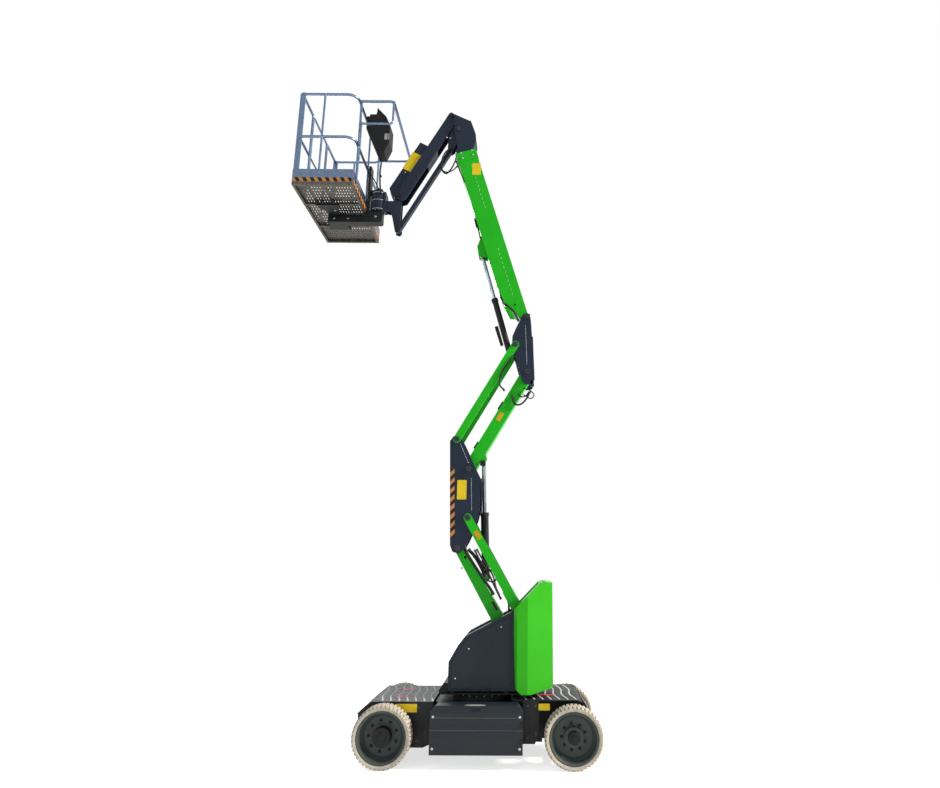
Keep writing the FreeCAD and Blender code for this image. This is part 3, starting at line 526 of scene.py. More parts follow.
def turned(bm, section, centre, axis, steps=24, phase=0.0):
    """Turns a half section of (radius, along) points about an axis through centre; all in millimetres."""
    axis = Vector(axis).normalized()
    side = axis.orthogonal().normalized()
    up = axis.cross(side)
    angles = [2 * math.pi * i / steps + phase for i in range(steps)]
    skin(bm, [[Vector(centre) + axis * along + (side * math.cos(a) + up * math.sin(a)) * max(radius, 0.01)
               for a in angles] for radius, along in section])


def bolt(bm, centre, axis, size):
    """Hexagon head of a bolt with a washer; size is the thread in millimetres."""
    across, high = size * 0.86, size * 0.62
    turned(bm, [(size * 1.05, -0.5), (size * 1.05, size * 0.14), (size, size * 0.18)], centre, axis, 20)
    turned(bm, [(across, 0), (across, high * 0.85), (across * 0.86, high)], centre, axis, 6, 0.26)


def near_bolts(bm, places, y, size):
    """Bolts at (x, z) places on a near face."""
    for x, z in places:
        bolt(bm, (x, y, z), NEAR, size)


def side_bolts(bm, places, y, size):
    """Bolts at (x, z) places on a near face and on the far face that mirrors it."""
    for side in (-1, 1):
        for x, z in places:
            bolt(bm, (x, side * y, z), Vector((0, side, 0)), size)


def bolt_circle(bm, centre, radius, count, axis, size, start=0.0):
    """Bolts on a level circle; start is a share of the angle between two."""
    for k in range(count):
        a = 2 * math.pi * (k + start) / count
        bolt(bm, Vector(centre) + Vector((math.cos(a), math.sin(a), 0)) * radius, axis, size)


print("rings, turned pieces and bolts ready")


# %% Bars and hoses
def smooth_line(points, per_span=6):
    """Points on a smooth curve through the given ones (Catmull-Rom), in millimetres."""
    pts = [Vector(p) for p in points]
    pts = [pts[0] * 2 - pts[1]] + pts + [pts[-1] * 2 - pts[-2]]
    line = []
    for p0, p1, p2, p3 in zip(pts, pts[1:], pts[2:], pts[3:]):
        for k in range(per_span):
            t = k / per_span
            line.append(0.5 * (2 * p1 + (p2 - p0) * t + (2 * p0 - 5 * p1 + 4 * p2 - p3) * t ** 2
                               + (3 * p1 - p0 - 3 * p2 + p3) * t ** 3))
    return line + [pts[-2]]


def hose(bm, points, radius, steps=10, per_span=6):
    """A round bar or hose through points (x, y, z)."""
    line = smooth_line(points, per_span)
    normal, rings = None, []
    for i, here in enumerate(line):
        ahead = (line[min(i + 1, len(line) - 1)] - line[max(i - 1, 0)]).normalized()
        normal = ahead.orthogonal() if normal is None else normal - ahead * normal.dot(ahead)
        normal.normalize()
        across = ahead.cross(normal)
        rings.append([here + (normal * math.cos(a) + across * math.sin(a)) * radius
                      for a in (2 * math.pi * k / steps for k in range(steps))])
    skin(bm, rings)


print("hoses ready")


# %% Outlines
def rounded(x0, x1, z0, z1, radius, steps=5):
    """Outline of a rectangle with round corners."""
    out = []
    for cx, cz, first in ((x1 - radius, z1 - radius, 0), (x0 + radius, z1 - radius, 90),
                          (x0 + radius, z0 + radius, 180), (x1 - radius, z0 + radius, 270)):
        for k in range(steps + 1):
            a = math.radians(first + 90 * k / steps)
            out.append((cx + radius * math.cos(a), cz + radius * math.sin(a)))
    return out


def along(origin, angle, points):
    """Points (along, across) from an origin, in the direction of angle; across is to its left."""
    c, s = math.cos(math.radians(angle)), math.sin(math.radians(angle))
    return [(origin[0] + a * c - b * s, origin[1] + a * s + b * c) for a, b in points]


def slot_outline(a, b, radius, steps=6):
    """Outline of a slot with round ends, from a to b."""
    angle = math.degrees(math.atan2(b[1] - a[1], b[0] - a[0]))
    out = []
    for centre, first in ((b, angle - 90), (a, angle + 90)):
        for k in range(steps + 1):
            t = math.radians(first + 180 * k / steps)
            out.append((centre[0] + radius * math.cos(t), centre[1] + radius * math.sin(t)))
    return out


print("outlines ready")

# %% [markdown]
# ## Solid tyres and wheels
# A solid tyre for such a machine is moulded with a row of short blocks on each shoulder, about 43 mm from
# one to the next, and plain side walls. The blocks are cut into a ring: at each block's place the section
# reaches the full radius, and between blocks it stays a finger's width lower. This ring replaces the
# plain CAD tyre.

# %% Tyres
BLOCKS, BLOCK_SHARE = 44, 0.62
# Half of the section: radius on a block, radius between blocks, distance from the tyre's middle plane.
SHOULDER = [(299, 293, 40), (300, 285, 46), (300, 285, 64), (297, 283, 90), (290, 281, 99),
            (279, 278, 101), (268, 268, 98), (254, 254, 92)]


def tyre_ring(bm, centre, side):
    """Rings of a section with raised blocks; the row on one shoulder is half a block ahead of the other."""
    inner = [(top, low, -y, 0) for top, low, y in SHOULDER[::-1]]
    outer = [(top, low, y, 0.5 if y > SHOULDER[0][2] else 0) for top, low, y in SHOULDER]
    section = inner + [(299, 299, 0, 0)] + outer
    rings = []
    for block in range(BLOCKS):
        for share, raised in ((0.0, True), (BLOCK_SHARE, True), (BLOCK_SHARE + 0.05, False), (0.95, False)):
            ring = []
            for top, low, y, ahead in section:
                a = 2 * math.pi * (block + share + ahead) / BLOCKS
                r = top if raised else low
                ring.append(Vector(centre) + Vector((r * math.sin(a), side * y, -r * math.cos(a))))
            rings.append(ring)
    skin(bm, rings, "joined")


# %% Wheels on the machine
STUDS, HUB_OUT = 9, 62
# Radius of the circle of studs, and of the hub's cap.
HUBS = {"drive": (146, 94), "steer": (124, 62)}


def wheel_detail(bm, centre, side, stud_r, cap_r):
    """Nine studs with nuts, and a black hub with its grease cap."""
    out = Vector((0, side, 0))
    for k in range(STUDS):
        a = 2 * math.pi * k / STUDS + 0.35
        spot = (centre[0] + stud_r * math.cos(a), centre[1] - side * 20, centre[2] + stud_r * math.sin(a))
        bolt(bm, spot, out, 15)
        turned(bm, [(6, 6), (6, 17), (5, 18)], spot, out, 12)
    turned(bm, [(cap_r, -22), (cap_r, HUB_OUT), (cap_r - 6, HUB_OUT + 6), (cap_r * 0.5, HUB_OUT + 8),
                (cap_r * 0.46, HUB_OUT + 15), (cap_r * 0.4, HUB_OUT + 17)], centre, out, 40)


for end, sx in (("drive", -1), ("steer", 1)):
    for side_name, sy in (("near", -1), ("far", 1)):
        body = "wheel_%s_%s" % (end, side_name)
        centre = (sx * WHEEL_X, sy * WHEEL_Y, WHEEL_R)
        ring = piece("tyre_blocks_" + body, body, TREAD, lambda bm: tyre_ring(bm, centre, sy))
        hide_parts("tyre_%s_%s" % (end, side_name))
        piece("wheel_studs_" + body, body, HUB, lambda bm: wheel_detail(bm, centre, sy, *HUBS[end]))
print("four tyres with", BLOCKS, "blocks a shoulder")

# %% [markdown]
# ## Pins, keepers and bolts on the arms
# Each main pin is held by a small keeper plate with one bolt, so that it can't turn or walk out. The
# keepers sit on the outer face of the uprights, over the end of the pin. A keeper is a slot's outline
# pushed out, and it is placed from the joint's own pin, so it can't end up beside it.

# %% Pin keepers
KEEPER_LONG, KEEPER_ROUND = 40, 11


def keeper(bm, pin, y, lean):
    """A pin's end face with a chamfer, and a keeper plate with its bolt beside it."""
    turned(bm, [(33, 0), (33, 3), (30, 5), (12, 5), (10, 3)], (pin[0], y, pin[1]), NEAR, 32)
    a = math.radians(lean)
    spot = (pin[0] + KEEPER_LONG * math.cos(a), pin[1] + KEEPER_LONG * math.sin(a))
    prism(bm, slot_outline(pin, spot, KEEPER_ROUND), y - 3, y - 9)
    bolt(bm, (spot[0], y - 9, spot[1]), NEAR, 10)


def keepers(bm, pins, y, lean):
    for pin in pins:
        keeper(bm, pin, y, lean)


# The lower link's upper pin is in the middle upright, and the upper link's upper pin in the upper one.
MID_LINK = (TOP_LINK[0] + 152, TOP_LINK[1] - 921)
END_LINK = (TOP_LINK[0] + END_ARM[0] - TOP_ARM[0], TOP_LINK[1] + END_ARM[1] - TOP_ARM[1])
for name, body, pins, face, lean in (
        ("keepers_mid_upright", "mid_upright", (MID_ARM, TOP_ARM), UPRIGHT_PIN_FACE, -60),
        ("keepers_mid_links", "mid_upright", (MID_LINK, TOP_LINK), LINK_PIN_FACE, 150),
        ("keepers_upper_upright", "upper_upright", (END_ARM, BOOM), UPRIGHT_PIN_FACE, 20),
        ("keepers_end_link", "upper_upright", (END_LINK,), LINK_PIN_FACE, 200)):
    piece(name, body, PIN_END, lambda bm: keepers(bm, pins, face, lean))
print("pins kept")

# %% [markdown]
# ## Welds, holes and slots on the green arms
# The arms are folded from plate and closed with welds. A stitch weld shows as a row of short beads along
# the near face. Round inspection holes have a rolled edge, and slots drain the arms. Beads could be a
# bump in the paint, but they stand 3 mm proud, so each one is a real row of half rings that swell and
# shrink as the passes of a welder do.

# %% Welds
RIPPLE_MM = 7


def bead(bm, a, b, y, radius=4.0):
    """A weld bead from a to b, both (x, z), with the scales that each pass leaves."""
    length = math.hypot(b[0] - a[0], b[1] - a[1])
    n = max(3, int(length / RIPPLE_MM))
    ux, uz = (b[0] - a[0]) / length, (b[1] - a[1]) / length
    rings = []
    for i in range(n + 1):
        swell = radius * (0.75 + 0.25 * (i % 2)) * (0.6 if i in (0, n) else 1)
        x, z = a[0] + ux * length * i / n, a[1] + uz * length * i / n
        rings.append([bm.verts.new(at(x - uz * swell * math.cos(t), y - swell * 0.7 * math.sin(t),
                                      z + ux * swell * math.cos(t)))
                      for t in (math.pi * k / 5 for k in range(6))])
    for p, q in zip(rings, rings[1:]):
        for i in range(5):
            bm.faces.new((p[i], q[i], q[i + 1], p[i + 1]))
    bm.faces.new(rings[0])
    bm.faces.new(rings[-1][::-1])


def stitches(bm, a, b, y, bead_mm=34, gap_mm=30):
    """Short beads from a to b with gaps between."""
    length = math.hypot(b[0] - a[0], b[1] - a[1])
    ux, uz = (b[0] - a[0]) / length, (b[1] - a[1]) / length
    start = 0
    while start + bead_mm <= length:
        bead(bm, (a[0] + ux * start, a[1] + uz * start),
             (a[0] + ux * (start + bead_mm), a[1] + uz * (start + bead_mm)), y)
        start += bead_mm + gap_mm


def rolled_hole(bm, centre, y, radius):
    """The rolled edge of a round hole, as a low ring."""
    turned(bm, [(radius * 0.85, -2), (radius, 1.5), (radius * 1.16, 2), (radius * 1.2, 0)],
           (centre[0], y, centre[1]), NEAR, 28)


def green_welds(bm):
    for start, end in ((1615, 2340), (340, 1040)):
        a, b = along(BOOM, BOOM_ANGLE, [(start, 81), (end, 81)])
        stitches(bm, a, b, BOOM_FACE)


def arm_welds(bm):
    a, b = along(TOP_ARM, UPPER_ARM_ANGLE, [(140, 36), (1290, 36)])
    stitches(bm, a, b, UPPER_ARM_FACE, 16, 22)


def lift_gussets(bm):
    """Gussets beside the lift cylinder's head, welded under the boom."""
    outline = [(-122, 6141), (-174, 5987), (-151, 5862), (-18, 5836), (-46, 5953)]
    for y in (-66, 58):
        prism(bm, outline, y, y + 8)


# The boom's beads are a paler green than the arm, which is a painted highlight along them.
piece("boom_stitch_welds", "main_boom", SEAM, green_welds)
piece("upper_arm_stitch_welds", "upper_arm", GREEN, arm_welds)
piece("lift_gussets", "main_boom", GREEN, lift_gussets, 1.0)
piece("boom_inspection_hole", "main_boom", GREEN,
      lambda bm: rolled_hole(bm, (324, 5172), BOOM_FACE, 13))
piece("lower_arm_hole", "lower_arm", GREEN, lambda bm: rolled_hole(bm, (-222, 2070), LOWER_ARM_FACE, 16))
piece("lower_arm_stud", "lower_arm", BOLT, lambda bm: bolt(bm, (-259, LOWER_ARM_FACE, 1950), NEAR, 12))
print("welds and holes made")


# %% Slots in the arms
RIM_WIDE = 3


def sunk_slot(bm, a, b, y, radius):
    """A raised rim round a slot, from the arm's face out to its edge, in and back again."""
    wide = radius + RIM_WIDE
    skin(bm, [[(x, level, z) for x, z in slot_outline(a, b, size)]
              for size, level in ((wide, y + 0.5), (wide, y - 1.5), (radius, y - 1.5), (radius, y - 0.3))],
         "open")


# A black slab inside each slot: painted shade where the hollow arm shows through.
def slot_painted_shade(bm, a, b, y, radius):
    prism(bm, slot_outline(a, b, radius), y - 0.4, y + 2)


SLOTS = [("lower_arm", (104, 1573), (150, 1497), LOWER_ARM_FACE, 13),
         ("upper_arm", (183, 3909), (134, 3829), UPPER_ARM_FACE, 9),
         ("upper_arm", (-106, 3412), (-148, 3349), UPPER_ARM_FACE, 9)]
for i, (body, a, b, y, r) in enumerate(SLOTS):
    piece("slot_rim_%d" % i, body, GREEN, lambda bm: sunk_slot(bm, a, b, y, r))
    piece("slot_floor_%d" % i, body, HUB, lambda bm: slot_painted_shade(bm, a, b, y, r))
print(len(SLOTS), "slots")

# %% [markdown]
# ## Plates and tape
# Thin plates in plain colours sit on the arms, the jib and the console, and striped tape runs along the
# toe board and up the middle upright. Each is a thin prism that stands on the face behind it, because
# a pattern painted on the CAD node would have no edge to catch the light.

# %% Plates
def label(bm, outline, y, thick=1.2):
    prism(bm, outline, y, y - thick)


def leaning(origin, angle, half_long, half_wide):
    """A plate's outline round an origin, turned to the arm that carries it."""
    return along(origin, angle, [(-half_long, -half_wide), (half_long, -half_wide),
                                 (half_long, half_wide), (-half_long, half_wide)])


for name, body, finish, outline, face in (
        ("yellow_plate_boom", "main_boom", LABEL_YELLOW, rounded(-263, -148, 7008, 7181, 10), BOOM_FACE),
        ("yellow_plate_mid_upright", "mid_upright", LABEL_YELLOW, rounded(-333, -223, 2726, 2952, 10),
         UPRIGHT_FACE),
        ("yellow_plate_jib", "jib", LABEL_YELLOW,
         [(-1071, 7372), (-954, 7314), (-1084, 7062), (-1201, 7123)], COVER_FACE),
        ("amber_plate_upper_arm", "upper_arm", LABEL_ORANGE,
         leaning((153, 3732), UPPER_ARM_ANGLE, 55, 27), UPPER_ARM_FACE),
        ("grey_label_console", "platform", LABEL_GREY, rounded(-1405, -1345, 7380, 7470, 6), CONSOLE_FACE)):
    piece(name, body, finish, lambda bm: label(bm, outline, face), 0.4)

# %% Tape
TAPE_LOW, TAPE_HIGH, TAPE_HALF_THICK = 6487, 6541, 0.4
BOARD_SIDE, BOARD_BACK, BOARD_FRONT = 775, -2380, -1662


def toe_tape(bm):
    outline = [(BOARD_BACK, TAPE_LOW), (BOARD_FRONT, TAPE_LOW), (BOARD_FRONT, TAPE_HIGH),
               (BOARD_BACK, TAPE_HIGH)]
    for side in (-BOARD_SIDE, BOARD_SIDE):
        prism(bm, outline, side - TAPE_HALF_THICK, side + TAPE_HALF_THICK)


def toe_tape_ends(bm):
    for x0, x1, y0, y1 in ((-1650.4, -1648.8, -768, 768), (-2388.4, -2387.6, -768, -306),
                           (-2388.4, -2387.6, 306, 768)):
        slab(bm, [(x0, y0), (x1, y0), (x1, y1), (x0, y1)], TAPE_LOW, TAPE_HIGH)


piece("tape_mid_upright", "mid_upright", TAPE_UPRIGHT,
      lambda bm: label(bm, [(-422, 3084), (-371, 3084), (-345, 2295), (-394, 2295)], UPRIGHT_FACE, 0.8))
piece("toe_tape_sides", "platform", TAPE_LONG, toe_tape)
piece("toe_tape_ends", "platform", TAPE_END, toe_tape_ends)
print("plates and tape on")

# %% [markdown]
# ## Jib, head and cover
# The cover on the jib hides the valve block and hoses. It has two groups of short louvres and is held by
# small bolts. The head at the boom's end carries the pins of jib and link. Louvres and plates are flat
# outlines pushed out of the face they sit on, and the pins' caps are turned.

# %% Jib cover and head
LOUVRES = 4


def vents(bm):
    for (x0, z0), (x1, z1) in (((-968, 7477), (-911, 7416)), ((-1315, 6901), (-1219, 6827))):
        for k in range(LOUVRES):
            share = (k + 0.5) / LOUVRES
            x, z = x0 + (x1 - x0) * share, z0 + (z1 - z0) * share
            a, b = (x - 14, z - 24), (x + 14, z + 24)
            prism(bm, slot_outline(a, b, 4), COVER_FACE, COVER_FACE - 3)


def jib_bolts(bm):
    near_bolts(bm, ((-618, 7584), (-571, 7576)), JIB_FACE, 11)
    near_bolts(bm, ((-1160, 7061),), COVER_FACE, 10)


def jib_seam(bm):
    a, b = along(JIB, JIB_ANGLE, [(40, 58), (1330, 58)])
    bead(bm, a, b, JIB_FACE, 2.5)


def head_cheeks(bm):
    """Thin plates that close the corner between the head and the jib's pin on both sides."""
    corner = [(-519, 7932), (-301, 7825), (-260, 7658), (-442, 7625), (-534, 7779)]
    for y in (-98, 90):
        prism(bm, corner, y, y + 8)


# The caps are near black: painted shade that stands in for the dark bore of each pin.
def pin_caps_painted_shade(bm, arm_pin, link_pin):
    for pin, y in ((arm_pin, HEAD_PIN_FACE), (link_pin, COVER_FACE)):
        turned(bm, [(30, -6), (30, 4), (27, 6), (10, 6), (8, 3)], (pin[0], y, pin[1]), NEAR, 30)


BRACKET_LINK = (JIB_END[0] + JIB_LINK[0] - JIB[0], JIB_END[1] + JIB_LINK[1] - JIB[1])
piece("jib_cover_louvres", "jib", SLATE, vents, 1.0)
piece("jib_bolts", "jib", BOLT, jib_bolts)
piece("jib_fold_line", "jib", SLATE, jib_seam)
piece("head_corner_plates", "level_head", SLATE, head_cheeks, 1.0)
piece("head_pin_caps", "level_head", HUB, lambda bm: pin_caps_painted_shade(bm, JIB, JIB_LINK))
piece("bracket_pin_caps", "level_bracket", HUB, lambda bm: pin_caps_painted_shade(bm, JIB_END, BRACKET_LINK))


# %% Boom's end
def nose_cap(bm):
    turned(bm, [(32, 0), (32, 3), (28, 5), (14, 5), (12, 2)], (HEAD[0], NOSE_PIN_FACE, HEAD[1]), NEAR, 32)


COLLAR_BOLTS, COLLAR_FACE = ((-419, 7328), (-273, 7375), (-397, 7253), (-258, 7307)), -108
piece("nose_pin_cap", "fly_boom", PIN_END, nose_cap)
piece("collar_bolts", "main_boom", BOLT, lambda bm: near_bolts(bm, COLLAR_BOLTS, COLLAR_FACE, 13))
print("jib, head and collar done")

# %% [markdown]
# ## Platform fittings
# The basket is bolted together from tube and plate. Its posts stand on small round feet, and collars
# show where a rail meets them. A support tube and a strap hang from the console guard, and the console
# carries three rows of switches and a raised rim on its near side. The feet, collars and switches are
# half sections turned about their own axes.

# %% Feet and bolts
FLOOR_Z, RAIL_Z, MID_Z = 6443, 7725, 7120
POSTS = ((-1675, -550), (-1675, 0), (-1675, 550), (-2079, -750), (-2079, 750), (-2363, -330), (-2363, 330))


def post_feet(bm):
    for x, y in POSTS:
        turned(bm, [(24, FLOOR_Z + 40), (24, FLOOR_Z + 46), (18, FLOOR_Z + 47), (17, FLOOR_Z + 64),
                    (14, FLOOR_Z + 66)], (x, y, 0), UP, 20)
        for z in (MID_Z, RAIL_Z):
            turned(bm, [(13.5, z - 24), (16.5, z - 18), (17, z - 12)], (x, y, 0), UP, 20)


def toe_bolts(bm):
    for y in (-640, -380, -120, 120, 380, 640):
        bolt(bm, (-1650, y, 6620), (1, 0, 0), 8)


def support_bolts(bm):
    near_bolts(bm, ((-1520, 6410), (-1880, 6380), (-2060, 6380)), -60, 14)
    for x, y in ((-2160, -200), (-2010, -200), (-2160, 200), (-2010, 200)):
        bolt(bm, (x, y, 6418), DOWN, 14)


piece("post_feet", "platform", ZINC, post_feet)
piece("toe_board_bolts", "platform", BOLT, toe_bolts)
piece("support_bolts", "platform", BOLT, support_bolts)
print("feet and bolts on")


# %% Stay, strap and console
PANEL_TOP, PANEL_FOOT, PANEL_Y = (-1512, 7842), (-1410, 7731), (-300, -120)
SWITCH_ROWS = ((30, 4), (75, 5), (115, 3))
CONSOLE_MID, RIM_SHARE, RIM_OUT = (-1478, 7520), 0.93, 4


def guard_stay(bm):
    hose(bm, [(-1634, -620, 7400), (-1634, -622, 7100), (-1636, -640, 6700), (-1638, -648, 6540)], 9, 10, 3)
    for z in (7395, 6900, 6560):
        turned(bm, [(14, z - 16), (14, z + 16)], (-1635, -625 - (7400 - z) * 0.024, 0), UP, 16)


def console_switches(bm):
    """Rows of switches across the sloping panel, each row a distance down from its top edge."""
    down = Vector((PANEL_FOOT[0] - PANEL_TOP[0], 0, PANEL_FOOT[1] - PANEL_TOP[1])).normalized()
    out = Vector((-down.z, 0, down.x))
    for row, count in SWITCH_ROWS:
        for k in range(count):
            y = PANEL_Y[0] + (PANEL_Y[1] - PANEL_Y[0]) * (k + 0.5) / count
            spot = Vector((PANEL_TOP[0], y, PANEL_TOP[1])) + down * row
            turned(bm, [(9, 0), (9, 3), (7, 4), (5, 5), (4.5, 16), (3, 18)], spot, out, 14)


def console_frame(bm):
    """Raised rim on the console's near side."""
    outline = [(-1600, 7740), (-1535, 7741), (-1515, 7820), (-1412, 7712), (-1356, 7592), (-1356, 7356),
               (-1408, 7216), (-1494, 7216), (-1597, 7455)]
    inner = [(CONSOLE_MID[0] + (x - CONSOLE_MID[0]) * RIM_SHARE,
              CONSOLE_MID[1] + (z - CONSOLE_MID[1]) * RIM_SHARE) for x, z in outline]
    front = CONSOLE_FACE - RIM_OUT
    skin(bm, [[(x, y, z) for x, z in line] for line, y in (
        (outline, CONSOLE_FACE), (outline, front), (inner, front), (inner, CONSOLE_FACE))], "open")


def black_strap(bm):
    hose(bm, [(-1619, -560, 6983), (-1560, -420, 6880), (-1500, -250, 6790), (-1450, -80, 6716)], 8, 8, 5)
    hose(bm, [(-1480, -90, 7190), (-1490, -88, 7050), (-1484, -84, 6900), (-1470, -80, 6760)], 11, 10, 4)
    turned(bm, [(14, -12), (16, -8), (16, 12), (12, 16), (4, 20)], (-1478, -96, 6980), NEAR, 20)


piece("guard_stay", "platform", ZINC, guard_stay)
piece("console_switches", "platform", HUB, console_switches)
piece("console_rim", "platform", PLASTIC, console_frame, 1.0)
piece("console_cable_and_strap", "platform", HOSE, black_strap)
print("stay, strap and console made")


# %% Rotator
def rotator_trim(bm):
    """Three bands round the rotator, and the bolts under it."""
    for z in (6512, 6640, 6748):
        turned(bm, [(100, z - 5), (103, z - 4), (103, z + 4), (100, z + 5)], (ROTOR[0], 0, 0), UP, 48)
    bolt_circle(bm, (ROTOR[0], 0, 6500), 82, 10, DOWN, 9)


piece("rotator_trim", "level_bracket", BOLT, rotator_trim)
print("platform fitted")

# %% [markdown]
# ## Chassis, battery boxes and turntable
# The decks carry two pairs of red arrows that show the driving direction, and pale wavy strips that are
# painted reflections of the glossy deck. Each battery box is closed by bolts at its corners and two latches,
# and has a small grip, and pale ridges along its folds are painted highlights. The cowls are moulded, and
# three small bolts hold each. The strips are slabs along a wave, and what both sides have is made twice by a loop.

# %% Decks
DRIVE_DECK, STEER_DECK = 599, 621


def deck_painted_reflections(bm):
    """Wavy pale strips across both decks, which are painted reflections of bright lines on the glossy deck."""
    for first, last, z in ((-1080, -520, DRIVE_DECK), (430, 1000, STEER_DECK)):
        for x in range(first, last, 88):
            line = [(x + 15 * math.sin(y / 95) - y * 0.08, y) for y in range(-440, 441, 40)]
            slab(bm, line + [(a + 17, b) for a, b in line[::-1]], z, z + 1.2)


def arrows(bm):
    for x, heading, z in ((-860, -1, DRIVE_DECK + 1.3), (700, 1, STEER_DECK + 1.3)):
        for y in (-200, 200):
            tip = [(x + heading * 90, y), (x, y + 62), (x, y + 24), (x - heading * 80, y + 24),
                   (x - heading * 80, y - 24), (x, y - 24), (x, y - 62)]
            slab(bm, tip if heading < 0 else tip[::-1], z, z + 1)


piece("deck_painted_reflections", "chassis", DECK_REFLECTION_PAINT, deck_painted_reflections)
piece("deck_arrows", "chassis", RED_PAINT, arrows)
print("decks marked")


# %% Battery boxes and side plates
BOX_TOP = 600
BOX_BOLTS = ((-455, 500), (-455, 206), (423, 500), (423, 206))
PLATE_BOLTS = ((-1180, 440), (-1120, 330), (-930, 540), (-640, 540), (-560, 300), (-640, 230),
               (500, 560), (580, 560), (500, 260), (590, 300))


def box_fold_highlights(bm):
    """Fine ridges where the box's sides are folded, in a paler paint that is a painted highlight along each fold.
    """
    for y in (BOX_SIDE - 2, 2 - BOX_SIDE):
        for z in (491, 374):
            hose(bm, [(-484, y, z), (0, y, z), (452, y, z)], 5, 8, 1)


def oval_plate(bm):
    for side in (-1, 1):
        line = [(-34 + 108 * math.cos(t), side * (640 + 30 * math.sin(t)))
                for t in (2 * math.pi * k / 40 for k in range(40))]
        slab(bm, line, BOX_TOP - 0.5, BOX_TOP + 1.2)


def box_latches(bm):
    for side in (-1, 1):
        y0, y1 = sorted((side * (BOX_SIDE + 2), side * (BOX_SIDE + 15)))
        for z in (250, 400):
            prism(bm, rounded(430, 452, z, z + 46, 5), y0, y1)
        prism(bm, rounded(-60, 28, 560, 574, 5), *sorted((side * (BOX_SIDE - 15), side * (BOX_SIDE - 3))))


def chassis_labels(bm):
    for side in (-1, 1):
        back, front = side * (CHASSIS_SIDE - 0.5), side * (CHASSIS_SIDE + 1.2)
        for x0, x1, z0, z1 in ((-879, -652, 496, 577), (617, 735, 520, 586)):
            prism(bm, rounded(x0, x1, z0, z1, 8), back, front)


piece("battery_box_bolts", "chassis", BOLT, lambda bm: side_bolts(bm, BOX_BOLTS, BOX_SIDE, 12))
piece("battery_box_fold_highlights", "chassis", RIM, box_fold_highlights)
piece("blank_oval_plates", "chassis", LABEL_GREY, oval_plate)
piece("battery_box_latches", "chassis", HUB, box_latches, 1.0)
piece("side_plate_bolts", "chassis", PIN_END,
      lambda bm: side_bolts(bm, PLATE_BOLTS, CHASSIS_SIDE, 14))
piece("yellow_plates_chassis", "chassis", LABEL_YELLOW, chassis_labels, 0.4)
print("boxes and side plates fitted")


# %% Turntable
COWL_BOLTS = ((-136, 1107), (213, 1334), (-275, 808))


def cowl_brackets(bm):
    for side in (-1, 1):
        for x in (-138, 69):
            y0, y1 = sorted((side * COWL_SIDE, side * (COWL_SIDE + 8)))
            prism(bm, rounded(x - 26, x + 26, 688, 716, 6), y0, y1)
            bolt(bm, (x, side * (COWL_SIDE + 8), 702), Vector((0, side, 0)), 9)


def weight_marks(bm):
    """Bosses for lifting eyes on top of the counterweight."""
    for y in (-320, 320):
        turned(bm, [(34, 1800), (34, 1806), (20, 1807), (18, 1800)], (690, y, 0), UP, 28)


piece("cowl_bolts", "turntable", BOLT, lambda bm: side_bolts(bm, COWL_BOLTS, COWL_SIDE, 8))
piece("cowl_brackets", "turntable", BLACK, cowl_brackets, 1.0)
piece("counterweight_bosses", "turntable", GREEN, weight_marks)
piece("slewing_ring_bolts", "chassis", BOLT,
      lambda bm: bolt_circle(bm, (0, 0, 623), 314, 24, UP, 11, 0.5))
print("turntable fitted")

# %% [markdown]
# ## Hoses
# Hydraulic hoses run along the arms, and loop where they have to give. Each one here belongs to the body
# that it is clipped to and stops short of the pin, so that it stays whole when a joint moves. A hose is a
# round bar through a few chosen points (x, y, z), because a smooth line through points is quicker to
# shape than a simulated one. A fitting is a turned piece at its end, on hoses from 16 mm across.

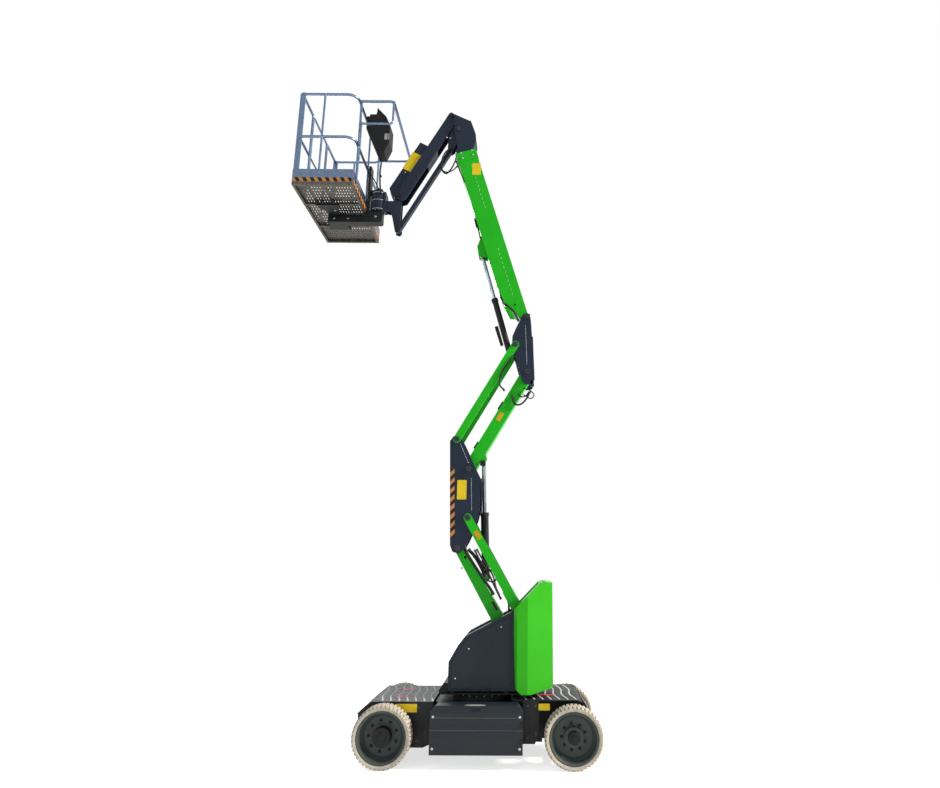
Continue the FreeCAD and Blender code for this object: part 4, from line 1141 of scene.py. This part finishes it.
# %% Hoses by body
# Body, radius and points, from one end to the other.
HOSES = [
    ("lower_arm", 17, [(-232, -96, 2190), (-205, -98, 2120), (-60, -98, 1905), (90, -97, 1700),
                       (106, -90, 1660)]),
    ("lower_arm", 9, [(3, -88, 1932), (60, -104, 1935), (118, -104, 1902), (136, -92, 1872)]),
    ("lower_arm", 8, [(31, -88, 1821), (80, -104, 1800), (128, -104, 1812), (144, -92, 1838)]),
    ("lower_arm", 10, [(238, -90, 1672), (262, -104, 1625), (284, -102, 1560), (289, -92, 1497)]),
    ("lower_arm", 11, [(-112, -92, 2150), (-55, -96, 2040), (20, -98, 1945), (71, -98, 1852),
                       (150, -96, 1695), (196, -92, 1612)]),
    ("lower_arm", 9, [(-88, -90, 2160), (-22, -92, 2046), (48, -92, 1950), (104, -92, 1860),
                      (138, -92, 1742), (174, -88, 1660)]),
    ("lower_arm", 19, [(-188, -66, 2158), (-117, -66, 2085), (-45, -66, 1973), (15, -66, 1851)]),
    ("upper_arm", 7, [(432, -92, 4089), (518, -92, 4058), (567, -92, 4002), (524, -92, 3958),
                      (439, -92, 4007)]),
    ("riser_barrel", 7, [(-8, -50, 2540), (8, -56, 2515), (12, -56, 2470), (4, -52, 2380),
                         (-4, -50, 2301)]),
    ("mid_upright", 11, [(-52, -128, 2965), (-50, -129, 2850), (-46, -129, 2700), (-44, -128, 2570)]),
    ("upper_link", 10, [(300, -176, 4462), (210, -184, 4325), (150, -184, 4190), (152, -182, 4100),
                        (205, -178, 4036)]),
    ("upper_arm", 11, [(300, -86, 3990), (330, -100, 3890), (400, -104, 3880), (470, -102, 3945),
                       (516, -96, 4037)]),
    ("upper_arm", 8, [(380, -84, 4010), (410, -100, 3975), (468, -100, 3990), (505, -90, 4037)]),
    ("main_boom", 11, [(172, -104, 5200), (230, -118, 5150), (300, -122, 5085), (350, -116, 5000),
                       (368, -108, 4955)]),
    ("main_boom", 9, [(-316, -70, 6859), (-272, -70, 6697), (-221, -70, 6479), (-184, -70, 6306),
                      (-134, -70, 6106)]),
    ("main_boom", 9, [(9, -70, 5769), (57, -70, 5589), (104, -70, 5424), (164, -70, 5234),
                      (248, -70, 5113)]),
    ("main_boom", 8, [(-478, -98, 7205), (-452, -104, 7130), (-402, -104, 7000), (-360, -98, 6905)]),
    ("level_head", 10, [(-565, -64, 7440), (-640, -92, 7330), (-676, -96, 7200), (-668, -96, 7080),
                        (-600, -108, 7020), (-520, -134, 7110), (-470, -136, 7250)]),
    ("level_head", 8, [(-681, -84, 7112), (-640, -92, 7060), (-570, -104, 7045), (-500, -130, 7070),
                       (-462, -134, 7110)]),
    ("jib", 6, [(-1150, -66, 7040), (-1128, -74, 6930), (-1116, -74, 6820), (-1112, -66, 6740)]),
    ("level_bracket", 7, [(-1264, -60, 6440), (-1250, -72, 6330), (-1215, -70, 6260),
                          (-1200, -60, 6250)]),
]
FITTED_FROM = 8
for i, (body, radius, points) in enumerate(HOSES):
    piece("hose_%02d" % i, body, HOSE, lambda bm: hose(bm, points, radius))


def hose_ends(bm, body):
    for name, radius, points in HOSES:
        if name != body or radius < FITTED_FROM:
            continue
        for here, after in ((points[0], points[1]), (points[-1], points[-2])):
            way = Vector(after) - Vector(here)
            turned(bm, [(radius + 2, -6), (radius + 4, -4), (radius + 4, 10), (radius + 2, 12),
                        (radius + 2, 34), (radius, 36)], here, way, 16)


for body in sorted({name for name, radius, _ in HOSES if radius >= FITTED_FROM}):
    piece("hose_ends_" + body, body, PIN_END, lambda bm: hose_ends(bm, body))
print(len(HOSES), "hoses")


# %% Valves, guards and pale beads painted as highlights
def blocks(bm, *shapes):
    """Each shape is an outline and the two faces that it is pushed out between."""
    for outline, y0, y1 in shapes:
        prism(bm, outline, y0, y1)


def riser_valve(bm):
    blocks(bm, (rounded(-72, -8, 3132, 3192, 6), -88, -66))
    bolt(bm, (-40, -88, 3162), NEAR, 12)


# Rows of short beads in pale zinc along the uprights' fold edges: painted highlights that the folds catch.
def upright_highlight_beads(bm, lines):
    for a, b in lines:
        stitches(bm, a, b, UPRIGHT_FACE, 14, 6)


LIFT_VALVE = ([(68, 4892), (112, 4905), (184, 4654), (147, 4641)], -58, -30)
# The gusset stands beside the boom's foot, in front of the lift cylinder.
FOOT_GUSSET = ([(172, 5159), (236, 5132), (306, 5039), (319, 4979), (263, 4985)], -98, -84)
HOSE_CLAMP = ([(-225, 6377), (-179, 6392), (-150, 6270), (-196, 6255)], -86, -56)
HOSE_GUARD = ([(534, 4740), (552, 4740), (574, 4190), (556, 4190)], -132, -90)
GUARD_BLOCK = (rounded(520, 556, 4096, 4176, 6), -150, -120)
piece("bright_welds_mid", "mid_upright", BOLT,
      lambda bm: upright_highlight_beads(bm, (((-310, 3388), (-207, 3154)), ((-169, 2974), (-157, 2600)))))
piece("bright_welds_upper", "upper_upright", BOLT,
      lambda bm: upright_highlight_beads(bm, (((458, 4885), (479, 4366)),)))
piece("lift_valve_block", "lift_barrel", HUB, lambda bm: blocks(bm, LIFT_VALVE), 2.0)
piece("boom_foot_gusset", "main_boom", GREEN, lambda bm: blocks(bm, FOOT_GUSSET), 2.0)
piece("boom_hose_clamp", "main_boom", HUB, lambda bm: blocks(bm, HOSE_CLAMP), 2.0)
piece("riser_valve_block", "upper_arm", HUB, riser_valve, 2.0)
piece("amber_plate_lower_link", "lower_link", LABEL_ORANGE,
      lambda bm: label(bm, leaning((-80, 2321), LINK_ANGLE, 52, 26), LINK_FACE), 0.4)
piece("upright_hose_guard", "upper_upright", SLATE, lambda bm: blocks(bm, HOSE_GUARD, GUARD_BLOCK), 2.0)
print("valves and clips fitted")

# %% [markdown]
# ## Finish
